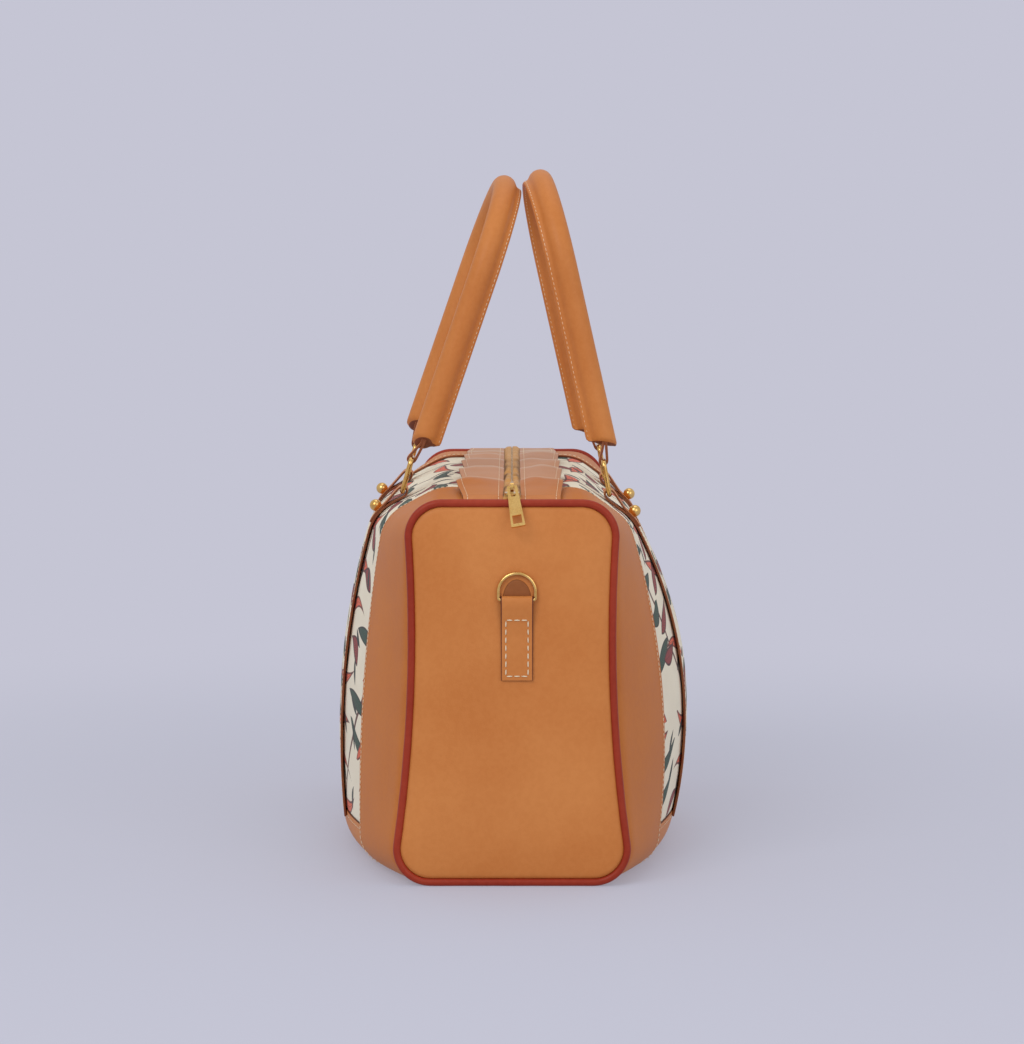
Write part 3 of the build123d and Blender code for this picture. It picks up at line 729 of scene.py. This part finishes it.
for end, way in ends:
    points = [skin(bagLaw["halfLength"], endLong * i / piping["samples"], piping["out"])[0]
              for i in range(piping["samples"])]
    points = [Vector((way * piping["x"], p.y, p.z)) for p in points]
    swells = [1 + piping["uneven"] * clouds(p, piping["lumps"], way) for p in points]
    roll = roundRoll(f"piping_roll_{end}", points, piping["radius"], swells, rust)
    dress(roll, "bag", "rust_leather", f"piping_{end}")
    bm = gridMesh(dome["around"], dome["rings"], domePlace(way), wrap=True, flip=way > 0)
    leather = toObject(f"end_leather_{end}", bm, tan)
    thicken(leather, dome["wall"], levels=0)
    dress(leather, "bag", "tan_leather", f"end_panel_{end}")


# Leather strips beside the zip, puckered into pleats

print("zip strips")
# The sheen keys size the painted highlight along each crest and the painted sheen beyond the first pleat
strip = {"end": 0.2124, "bendFrom": 0.2045, "bend": 0.0032, "near": 0.0062, "wide": 0.0270, "wall": 0.0015,
         "across": 10, "along": 220, "rest": 0.2696, "over": 0.0019, "stitchIn": 0.0030, "stitchSamples": 300,
         "crests": {"front": ((0.150, 0.0085), (0.062, 0.0072), (-0.012, 0.0062), (-0.082, 0.0045),
                              (-0.150, 0.0022)),
                    "back": ((0.142, 0.0080), (0.064, 0.0078), (-0.008, 0.0064), (-0.082, 0.0062),
                             (-0.150, 0.0025))},
         "spread": {"front": 0.0060, "back": 0.0030}, "fullCrest": 0.008, "pinch": 0.0008, "skew": 0.0022,
         "ahead": 0.86, "behind": 0.14, "lastBehind": 0.8, "slope": (1.25, 1.2), "ripple": 0.0004,
         "sheenWide": 0.0045, "sheenLine": 0.75, "sheenBeyond": (0.02, 0.34), "sheenMost": 0.85}


def bentDown(x, piece):
    # How far the end of a strip or tape turns down towards the end seam
    return piece["bend"] * max(0.0, (abs(x) - piece["bendFrom"]) / (piece["end"] - piece["bendFrom"])) ** 1.5


def pleat(x, side):
    # Height of the puckered strip over its seat: each pleat rises slowly to its crest and drops behind it
    crests = strip["crests"][side]
    xs = [strip["end"]] + [crest for crest, _ in crests] + [-strip["end"]]
    steep, blunt = strip["slope"]
    height = 0.0
    for i, (crest, tall) in enumerate(crests, start=1):
        ahead = (xs[i - 1] - crest) * (1.0 if i == 1 else strip["ahead"])
        behind = (crest - xs[i + 1]) * (strip["behind"] if i < len(crests) else strip["lastBehind"])
        if 0 <= x - crest < ahead:
            height = max(height, tall * (1 - ((x - crest) / ahead) ** steep) ** blunt)
        elif 0 <= crest - x < behind:
            height = max(height, tall * (0.5 + 0.5 * math.cos(math.pi * (crest - x) / behind)))
    return height


def pleatSheen(x, side):
    # Painted highlight along each crest, and painted sheen all over the pleats beyond the first one
    crests = [crest for crest, _ in strip["crests"][side]]
    line = max(math.exp(-((x - crest) / strip["sheenWide"]) ** 2) for crest in crests)
    fadeIn, most = strip["sheenBeyond"]
    beyond = min(1.0, max(0.0, (crests[0] - x) / fadeIn))
    return min(strip["sheenMost"], line * strip["sheenLine"] + beyond * most)


def stripPlace(side):
    way = bagLaw[side]["way"]

    def place(u, v):
        x = (u * 2 - 1) * strip["end"]
        rise = pleat(x, side)
        crestShare = rise / strip["fullCrest"]
        out = strip["near"] + strip["wide"] * v
        out += crestShare * strip["spread"][side] * v - crestShare * strip["pinch"] * (1 - v)
        bow = 1 - (2 * v - 1) ** 2
        z = max(atX(bagLaw["top"], x) + strip["over"], strip["rest"])
        z += rise * (0.72 + 0.28 * bow + 0.16 * clouds((x, out * 3, 0), 30, way * 5))
        z += clouds((x, out, 0), 60, 2 + way) * strip["ripple"]
        z -= bentDown(x, strip)
        skewX = x + clouds((x * 0.6, out, 1), 26, way * 3) * strip["skew"] * crestShare
        # The third value weighs the painted crest highlight and sheen
        return Vector((skewX, way * out, z)), (x, out), pleatSheen(x, side)
    return place


def stripLine(side, v):
    place = stripPlace(side)
    pairs = []
    for u in np.linspace(0.004, 0.996, strip["stitchSamples"]):
        here, ahead, aside = place(u, v)[0], place(u + 0.002, v)[0], place(u, v + 0.02)[0]
        out = (ahead - here).cross(aside - here).normalized()
        pairs.append((here, out if out.z > 0 else -out))
    return pairs


for side in sides:
    bm = gridMesh(strip["along"], strip["across"], stripPlace(side), flip=side == "front")
    pleats = toObject(f"pleats_{side}", bm, pleatTan, tanEdge)
    thicken(pleats, strip["wall"], bevel=0.00035)
    dress(pleats, "bag", "tan_leather", f"zip_strip_{side}")
    edge = strip["stitchIn"] / strip["wide"]
    runs = [stripLine(side, edge), stripLine(side, 1 - edge)]
    dress(stitchRun(f"pleat_stitches_{side}", runs), "bag", "tan_leather")


# Zip tapes, crumpled where the strips pucker

print("zip")
tape = {"end": 0.2120, "near": 0.0002, "far": 0.0155, "z": 0.26875, "wall": 0.0006, "along": 240, "across": 8,
        "bend": 0.0022, "bendFrom": 0.2060, "over": 0.0019, "overTo": 0.0056, "overFade": 0.0016,
        "looseAt": 0.0030, "looseWide": 0.0036, "heldEnds": 0.02, "lift": 0.0014, "rumple": 0.0028,
        "wave": 0.0012, "swollenFrom": -0.06, "swollenLong": 0.26, "calm": 0.15}


def tapePlace(side):
    way = bagLaw[side]["way"]

    def place(u, v):
        x = (u * 2 - 1) * tape["end"]
        out = tape["near"] + (tape["far"] - tape["near"]) * v
        free = math.exp(-((out - tape["looseAt"]) / tape["looseWide"]) ** 2)
        free *= min(1.0, (tape["end"] - abs(x)) / tape["heldEnds"])
        rumple = clouds((x, out * 0.5, 0), 75, way * 7) + 0.5 * clouds((x, out, 0), 160, way)
        start = tape["swollenFrom"]
        swollen = max(0.0, math.sin(math.pi * (x - start) / tape["swollenLong"])) if x > start else tape["calm"]
        z = tape["z"] + free * (tape["lift"] + tape["rumple"] * rumple) * (0.35 + swollen)
        over = tape["over"] * min(1.0, max(0.0, (tape["overTo"] - out) / tape["overFade"]))
        z = max(z, tape["z"]) + over - bentDown(x, tape)
        aside = out + free * tape["wave"] * clouds((x, 0, 3), 60, way * 2) * min(1.0, out / 0.002)
        return Vector((x, way * max(aside, tape["near"]), z)), (x, out)
    return place


for side in sides:
    bm = gridMesh(tape["along"], tape["across"], tapePlace(side), flip=side == "front")
    cut = (tape["far"] - tape["near"], areaOf(bm) / (tape["far"] - tape["near"]))
    cloth = toObject(f"tape_{side}", bm, mustard)
    print(f"{side} tape cut", cut)
    thicken(cloth, tape["wall"])
    dress(cloth, "bag", "zip_cloth", f"zip_tape_{side}")


# Straps: one ribbon each, from the base seam up over the shoulder, round the ring's lower bar and
# back under the stud

print("straps")
strap = {"x": 0.067, "wide": 0.0200, "wall": 0.0015, "lift": 0.0003, "ringWire": 0.0035, "slack": 0.0013,
         "meet": 0.0162, "tail": 0.0305, "along": 180, "ringOut": {"front": 0.0767, "back": 0.0672},
         "points": (14, 22, 150, 420), "smoothing": 14, "tuckUnder": 0.004,
         "stitchIn": 0.0026, "stitchFrom": 0.062, "stitchEnd": 0.006, "stitchSamples": 260}
joints = {joint["name"]: joint for joint in frame["joints"]}
ringSeat = {side: Vector(joints[f"{side}_rings_swing"]["pos_m"]) for side in sides}
ringTop = {side: Vector(joints[f"{side}_handle_swing"]["pos_m"]) for side in sides}


def smoothRun(points, times):
    points = np.array(points)
    for _ in range(times):
        points[1:-1] = (points[:-2] + 2 * points[1:-1] + points[2:]) / 4
    return points


def strapRun(x, side):
    # Middle line of the ribbon, from its short end, round the ring and down to the base seam
    way = -bagLaw[side]["way"]
    tailCount, bowCount, longCount, count = strap["points"]
    bar = ringSeat[side]
    start = sAtY(x, strap["ringOut"][side], side)
    under, over = strap["lift"] + strap["wall"] / 2, strap["lift"] + strap["wall"] * 1.5
    centre, out = skin(x, start)
    down = (skin(x, start + way * 0.001)[0] - centre).normalized()
    radius = strap["ringWire"] / 2 + strap["slack"] + strap["wall"] / 2
    low = under - (bar - centre).dot(out) + strap["wall"]
    lean = math.asin(min(1, radius / math.hypot(strap["meet"], low))) + math.atan2(low, strap["meet"])
    short = [skin(x, start + way * d, over)[0] for d in np.linspace(strap["tail"], strap["meet"], tailCount)]
    bow = [Vector((x, bar.y, bar.z)) + down * (radius * math.cos(a)) + out * (radius * math.sin(a))
           for a in np.linspace(math.pi / 2 + lean * 0.2, 3 * math.pi / 2, bowCount)]
    reach = abs(seamAt(x, side) - start) + strap["tuckUnder"]
    long = [skin(x, start + way * d, under)[0] for d in np.linspace(0.002, reach, longCount)]
    points = even(np.array([tuple(p) for p in short + bow + long]), count)
    return smoothRun(points, strap["smoothing"])


def ribbon(name, run, wide, wall, count, across=4):
    # A flat strip of leather whose middle line is run and whose width lies along X
    total = lengths(run)[-1]

    def place(u, v):
        off = (u - 0.5) * wide
        return Vector(along(run, total * v)) + xAxis * off, (off, total * v)
    obj = toObject(name, gridMesh(across, count, place, flip=False), tan, tanEdge)
    return thicken(obj, wall, middle=True, bevel=0.0003)


def strapLine(run, off):
    # Points on the strap's outer face, from under the stud to near the base seam
    last = lengths(run)[-1] - strap["stitchEnd"]
    pairs = []
    for s in np.linspace(strap["stitchFrom"], last, strap["stitchSamples"]):
        here = Vector(along(run, s)) + xAxis * off
        out = xAxis.cross(heading(run, s)).normalized()
        out = out if out.dot(Vector((0, here.y, here.z - bagLaw["centre"]))) > 0 else -out
        pairs.append((here + out * (strap["wall"] / 2), out))
    return pairs


for side in sides:
    for end, way in ends:
        run = strapRun(way * strap["x"], side)
        leather = ribbon(f"strap_leather_{side}_{end}", run, strap["wide"], strap["wall"], strap["along"])
        dress(leather, "bag", "tan_leather", f"strap_{side}_{end}")
        edge = strap["wide"] / 2 - strap["stitchIn"]
        lines = [strapLine(run, off) for off in (-edge, edge)]
        dress(stitchRun(f"strap_stitches_{side}_{end}", lines), "bag", "tan_leather")


# Handles: leather wrapped round a soft core, its two edges sewn into a flange that faces the other handle

print("handles")
handle = {"radius": 0.0085, "wall": 0.0016, "flange": 0.0045, "flangeWall": 0.0030, "halfSpan": 0.067,
          "rise": 0.206, "turn": 0.0040, "meetAt": 0.0074, "gap": 0.0003, "around": 32, "along": 120,
          "cuff": {"front": 0.0125, "back": 0.0112}, "rake": {"front": -0.62, "back": -0.30},
          "rakeSide": {"front": 0.06, "back": 0.36}, "neck": 0.0006, "neckRound": 0.0022, "tipRound": 0.0005,
          "roundSamples": 90, "sectionLong": 0.06, "flatter": 0.05, "uneven": 0.03,
          "stitchIn": 0.0020, "stitchEnd": 0.003, "stitchSamples": 400, "stitchLong": 0.0025}
handleAngle = math.asin(handle["turn"] / handle["halfSpan"])
handleTop = handle["rise"] - handle["halfSpan"]
handleLong = 2 * handleTop + math.pi * handle["halfSpan"]
facing = Vector((-math.sin(handleAngle), math.cos(handleAngle), 0))


def handleFrame(side):
    way = bagLaw[side]["way"]
    origin = Vector((0, ringTop[side].y, ringTop[side].z))
    reachUp = handle["rise"] + handle["flangeWall"] / 2
    flangeEnd = handle["radius"] + handle["flange"]
    span = abs(handle["meetAt"] - origin.y) - handle["gap"] / 2
    lean = math.asin(span / math.hypot(reachUp, flangeEnd)) - math.atan2(flangeEnd, reachUp)
    up = Vector((0, -way * math.sin(lean), math.cos(lean)))
    right = Vector((-way, 0, 0))
    return Matrix((right, up.cross(right), up)).transposed().to_4x4(), origin


def profileLoop(count):
    # Outer edge of the handle's section; the flange points along the first axis
    r, half = handle["radius"], handle["flangeWall"] / 2
    start = math.asin((half + handle["neck"]) / r)
    turns = np.linspace(start, 2 * math.pi - start, handle["roundSamples"])
    ring = np.column_stack((r * np.cos(turns), r * np.sin(turns)))
    tip = r + handle["flange"]
    points = np.vstack(((tip, 0), (tip, half), ring, (tip, -half), (tip, 0)))
    for corner in (ring[0], ring[-1]):
        points = roundCorner(points, corner, handle["neckRound"])
    for corner in ((tip, half), (tip, -half)):
        points = roundCorner(points, np.array(corner), handle["tipRound"])
    return even(points, count + 1)


def handleSpot(s):
    # Middle line's point and way out in the handle's own frame, s along from the first leg's foot
    half = handle["halfSpan"]
    if s <= handleTop:
        spots = (-half, s), (-1, 0)
    elif s >= handleTop + math.pi * half:
        spots = (half, handleLong - s), (1, 0)
    else:
        a = math.pi - (s - handleTop) / half
        spots = (half * math.cos(a), handleTop + half * math.sin(a)), (math.cos(a), math.sin(a))
    ca, sa = math.cos(handleAngle), math.sin(handleAngle)
    return [Vector((across * ca, across * sa, up)) for across, up in spots]


def handlePlace(side, matrix, origin, inner=None):
    # The cover's outer face, or with inner as its radius, the round of its hollow
    def place(u, v):
        if inner:
            p, q = inner * math.cos(2 * math.pi * u), inner * math.sin(2 * math.pi * u)
        else:
            p, q = along(profile, lengths(profile)[-1] * u)
        # The wall on the photo's side is cut short on both legs
        towards = 1 if (v >= 0.5) == (side == "front") else -1
        cut = handle["cuff"][side] - q * handle["rake"][side] * towards + p * handle["rakeSide"][side]
        s = cut + (handleLong - 2 * cut) * v
        point, out = handleSpot(s)
        squash = 1 - handle["flatter"] * math.sin(math.pi * v) + handle["uneven"] * clouds((v * 3, 0, 0), 4, 1)
        local = point + facing * p + out * (q * squash)
        return matrix @ local + origin, (u * handle["sectionLong"], s)
    return place


profile = profileLoop(handle["around"])
for side in sides:
    matrix, origin = handleFrame(side)
    bm, inside = (gridMesh(handle["around"], handle["along"], handlePlace(side, matrix, origin, inner),
                           wrap=True, flip=False) for inner in (None, handle["radius"] - handle["wall"]))
    # The hollow takes the dark leather, painted shade inside the cover
    for face in inside.faces:
        face.material_index = 2
    keep = bpy.data.meshes.new("inside")
    inside.to_mesh(keep)
    inside.free()
    bm.from_mesh(keep)
    bpy.data.meshes.remove(keep)
    for leg in (-1, 1):
        rims = [edge for edge in bm.edges if edge.is_boundary and edge.verts[0].co.x * leg > 0]
        for face in bmesh.ops.bridge_loops(bm, edges=rims)["faces"]:
            face.material_index = 1
    bmesh.ops.recalc_face_normals(bm, faces=bm.faces)
    cover = smoothed(toObject(f"handle_cover_{side}", bm, tan, tanEdge, insideShade))
    dress(cover, f"{side}_handle", "tan_leather", f"handle_{side}")
    reach = handle["radius"] + handle["flange"] - handle["stitchIn"]
    foot = handle["cuff"][side] + reach * handle["rakeSide"][side] + handle["stitchEnd"]
    lines = []
    for face in (-1, 1):
        line = []
        for s in np.linspace(foot, handleLong - foot, handle["stitchSamples"]):
            point, out = handleSpot(s)
            here = matrix @ (point + facing * reach + out * (face * handle["flangeWall"] / 2)) + origin
            line.append((here, (matrix @ (out * face)).normalized()))
        lines.append(line)
    stitches = stitchRun(f"handle_stitches_{side}", lines, long=handle["stitchLong"])
    dress(stitches, f"{side}_handle", "tan_leather")


# Leather tongues that hold the rings in the cuffs

tongue = {"wide": 0.0110, "wall": 0.0018, "bar": 0.00205, "into": 0.0300, "neck": 0.0125, "open": 0.2,
          "bowPoints": 20, "points": 160, "smoothing": 10, "along": 60}
for side in sides:
    matrix, origin = handleFrame(side)
    for end, way in ends:
        leg = -bagLaw[side]["way"] * way
        aside = leg * handle["turn"]
        half, radius = tongue["wall"] / 2, tongue["bar"] + tongue["wall"] / 2
        turns = np.linspace(-tongue["open"], tongue["open"] - math.pi, tongue["bowPoints"])
        points = [(aside + half, tongue["into"]), (aside + half, tongue["neck"])]
        points += [(radius * math.cos(a), radius * math.sin(a)) for a in turns]
        points += [(aside - half, tongue["neck"]), (aside - half, tongue["into"])]
        flat = smoothRun(even(np.array(points), tongue["points"]), tongue["smoothing"])
        run = np.array([tuple(matrix @ Vector((leg * handle["halfSpan"], y, z)) + origin) for y, z in flat])
        piece = ribbon(f"tongue_{side}_{end}", run, tongue["wide"], tongue["wall"], tongue["along"])
        dress(piece, f"{side}_handle", "tan_leather", f"handle_loop_{side}_{end}")


# D-ring tabs: one strip of leather folded round the ring's bar and stitched to the end panel

print("tabs")
tab = {"wide": 0.0224, "foot": 0.0216, "wall": 0.0015, "top": 0.2030, "long": 0.0590, "aside": 0.0034,
       "bar": (0.2218, 0.1999), "wire": 0.0026, "gap": 0.0003, "face": 0.2184, "across": 6, "along": 90,
       "foldPoints": 16, "points": 260, "smoothing": 16, "stitchTop": 0.0170, "stitchIn": 0.0032,
       "stitchSamples": 12, "stitch": {"pitch": 0.0050, "thick": 0.0009, "long": 0.0041}}
tabFoot = tab["top"] - tab["long"]


def tabRun():
    # Middle line from the back layer's foot, up, over the bar and down the front
    barX, barZ = tab["bar"]
    radius = tab["wire"] / 2 + tab["gap"] + tab["wall"] / 2
    backX = tab["face"] + tab["gap"] + tab["wall"] / 2
    frontX = backX + tab["wall"]
    points = [(backX, tabFoot), (backX, barZ - 0.012), (backX, barZ - 0.004)]
    points += [(barX + radius * math.cos(a), barZ + radius * math.sin(a))
               for a in np.linspace(math.pi, -0.15, tab["foldPoints"])]
    points += [(barX + radius - 0.0001, barZ - 0.004), (frontX + 0.0006, barZ - 0.016),
               (frontX, barZ - 0.024), (frontX, tabFoot)]
    return smoothRun(even(np.array(points), tab["points"]), tab["smoothing"])


tabFlat = tabRun()


def tabPlace(way):
    total = lengths(tabFlat)[-1]

    def place(u, v):
        x, z = along(tabFlat, total * v)
        width = tab["foot"] + (tab["wide"] - tab["foot"]) * np.clip((z - tabFoot) / tab["long"], 0, 1)
        off = (u - 0.5) * width
        return Vector((way * x, tab["aside"] + off, z)), (off, total * v)
    return place


for end, way in ends:
    bm = gridMesh(tab["across"], tab["along"], tabPlace(way), flip=way < 0)
    leather = toObject(f"tab_leather_{end}", bm, tabTan, tanEdge)
    thicken(leather, tab["wall"], middle=True, bevel=0.0004)
    dress(leather, "bag", "tan_leather", f"d_tab_{end}")
    front = tabFlat[int(np.argmax(tabFlat[:, 1])):]
    low, high = tabFoot + tab["stitchIn"], tab["top"] - tab["stitchTop"]
    half = tab["foot"] / 2 - tab["stitchIn"]
    corners = [(-half, low), (half, low), (half, high), (-half, high), (-half, low)]
    lines = []
    for (y0, z0), (y1, z1) in zip(corners, corners[1:]):
        line = []
        for share in np.linspace(0.0, 1.0, tab["stitchSamples"]):
            y, z = tab["aside"] + y0 + (y1 - y0) * share, z0 + (z1 - z0) * share
            x = np.interp(-z, -front[:, 1], front[:, 0]) + tab["wall"] / 2
            line.append((Vector((way * x, y, z)), xAxis * way))
        lines.append(line)
    dress(stitchRun(f"tab_stitches_{end}", lines, **tab["stitch"]), "bag", "tan_leather")


# The small darker patch behind each D-ring

patch = {"radius": 0.0098, "tall": 1.4, "wall": 0.0006, "off": 0.0002, "around": 28, "rings": 8}


def patchPlace(way):
    def place(u, v):
        turn, reach = math.pi * u, patch["radius"] * v
        y, z = reach * math.cos(turn), reach * math.sin(turn) * patch["tall"]
        x = tab["face"] + patch["off"] + patch["wall"]
        return Vector((way * x, tab["aside"] + y, tab["bar"][1] + z)), (y, z)
    return place


for end, way in ends:
    bm = gridMesh(patch["around"], patch["rings"], patchPlace(way), wrap=True, flip=way < 0)
    backing = toObject(f"patch_leather_{end}", bm, patchTan)
    thicken(backing, patch["wall"], levels=0)
    dress(backing, "bag", "tan_leather")


# The pull hangs a little askew, and the studs sit down on their straps

def reseat(name, node, body, matrix):
    bm = bmesh.new()
    bm.from_mesh(frame["nodes"][node].data)
    bmesh.ops.transform(bm, matrix=matrix, verts=bm.verts)
    obj = toObject(name, bm, brass)
    obj.data.set_sharp_from_angle(angle=math.radians(35))
    dress(obj, body, "brass", node)


pull = {"roll": math.radians(10)}
pivot = Vector(joints["puller_swing"]["pos_m"])
askew = Matrix.Translation(pivot) @ Matrix.Rotation(pull["roll"], 4, "X") @ Matrix.Translation(-pivot)
reseat("puller_askew", "zip_puller", "puller", askew)
stud = {"down": 0.0016, "front": Vector((0, -0.80, 0.60)), "back": Vector((0, 0.7808, 0.6248))}
for side in sides:
    for end, _ in ends:
        settle = Matrix.Translation(-stud[side] * stud["down"])
        reseat(f"ball_{side}_{end}", f"stud_{side}_{end}", "bag", settle)


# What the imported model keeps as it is

print("kept nodes")
kept = {"lining": liningCloth, "base_board": greyBoard, "handle_core": paleCore, "zip_teeth": brass,
        "zip_stop": brass, "zip_slider": brass, "ring": brass, "d_ring": brass}
for node, obj in frame["nodes"].items():
    for start, material in kept.items():
        if node.startswith(start):
            obj.data.materials.clear()
            obj.data.materials.append(material)


# Floor, light and camera

print("studio")
studio = {"backdrop": srgb(197, 197, 212), "floor": srgb(195, 197, 212), "floorReach": 9.0,
          "fade": (0.35, 1.1), "lift": 0.42, "sky": (0.93, 0.93, 0.95, 1), "skyStrength": 0.70}
lamps = {"key": {"place": (2.2, -1.2, 2.0), "target": (0.1, 0, 0.2), "power": 25, "size": 1.6},
         "fill": {"place": (2.3, 1.4, 1.1), "target": (0.1, 0, 0.2), "power": 10, "size": 1.8},
         "top": {"place": (-0.4, 0.2, 2.6), "target": (0, 0, 0.2), "power": 7, "size": 1.8}}


def blended(tree, factor, one, kind, colour, output):
    # Shows a plain colour of its own in place of shader one, as far as the factor says
    glow = tree.nodes.new(kind)
    glow.inputs["Color"].default_value = colour
    merge = tree.nodes.new("ShaderNodeMixShader")
    for slot, socket in zip(merge.inputs, (factor, one.outputs[0], glow.outputs[0])):
        tree.links.new(socket, slot)
    tree.links.new(merge.outputs[0], tree.nodes[output].inputs["Surface"])


plain = Finish("floor", Roughness=0.9, Specular_IOR_Level=0.1, Base_Color=studio["floor"])
x, y, _ = plain.split(plain.coords())
far = plain.ramp((x * x + y * y).sqrt(), *studio["fade"])
far = far * (1 - studio["lift"]) + studio["lift"]
blended(plain.tree, far.socket, plain.shader, "ShaderNodeEmission", studio["backdrop"], "Material Output")
bm = bmesh.new()
bmesh.ops.create_circle(bm, cap_ends=True, segments=96, radius=studio["floorReach"])
toObject("floor", bm, plain.material, smooth=False)

scene.world = bpy.data.worlds.new("studio")
scene.world.use_nodes = True
tree = scene.world.node_tree
sky = tree.nodes["Background"]
sky.inputs["Color"].default_value = studio["sky"]
sky.inputs["Strength"].default_value = studio["skyStrength"]
seen = tree.nodes.new("ShaderNodeLightPath").outputs["Is Camera Ray"]
blended(tree, seen, sky, "ShaderNodeBackground", studio["backdrop"], "World Output")

for name, lamp in lamps.items():
    light = bpy.data.lights.new(name, "AREA")
    light.energy = lamp["power"]
    light.shape = "DISK"
    light.size = lamp["size"]
    holder = bpy.data.objects.new(name, light)
    scene.collection.objects.link(holder)
    holder.location = lamp["place"]
    holder.rotation_euler = (Vector(lamp["target"]) - Vector(lamp["place"])).to_track_quat("-Z", "Y").to_euler()

lens = bpy.data.cameras.new("camera")
lens.lens = photo["sensor"] * photo["pxFocal"] / photo["height"]
lens.sensor_width = photo["sensor"]
scene.camera = bpy.data.objects.new("camera", lens)
scene.collection.objects.link(scene.camera)
pitch = math.atan((photo["height"] / 2 - photo["horizonPx"]) / photo["pxFocal"])
scene.camera.location = photo["eye"]
scene.camera.rotation_euler = (math.pi / 2 - pitch, 0, math.pi / 2)

scene.view_settings.view_transform = "Standard"
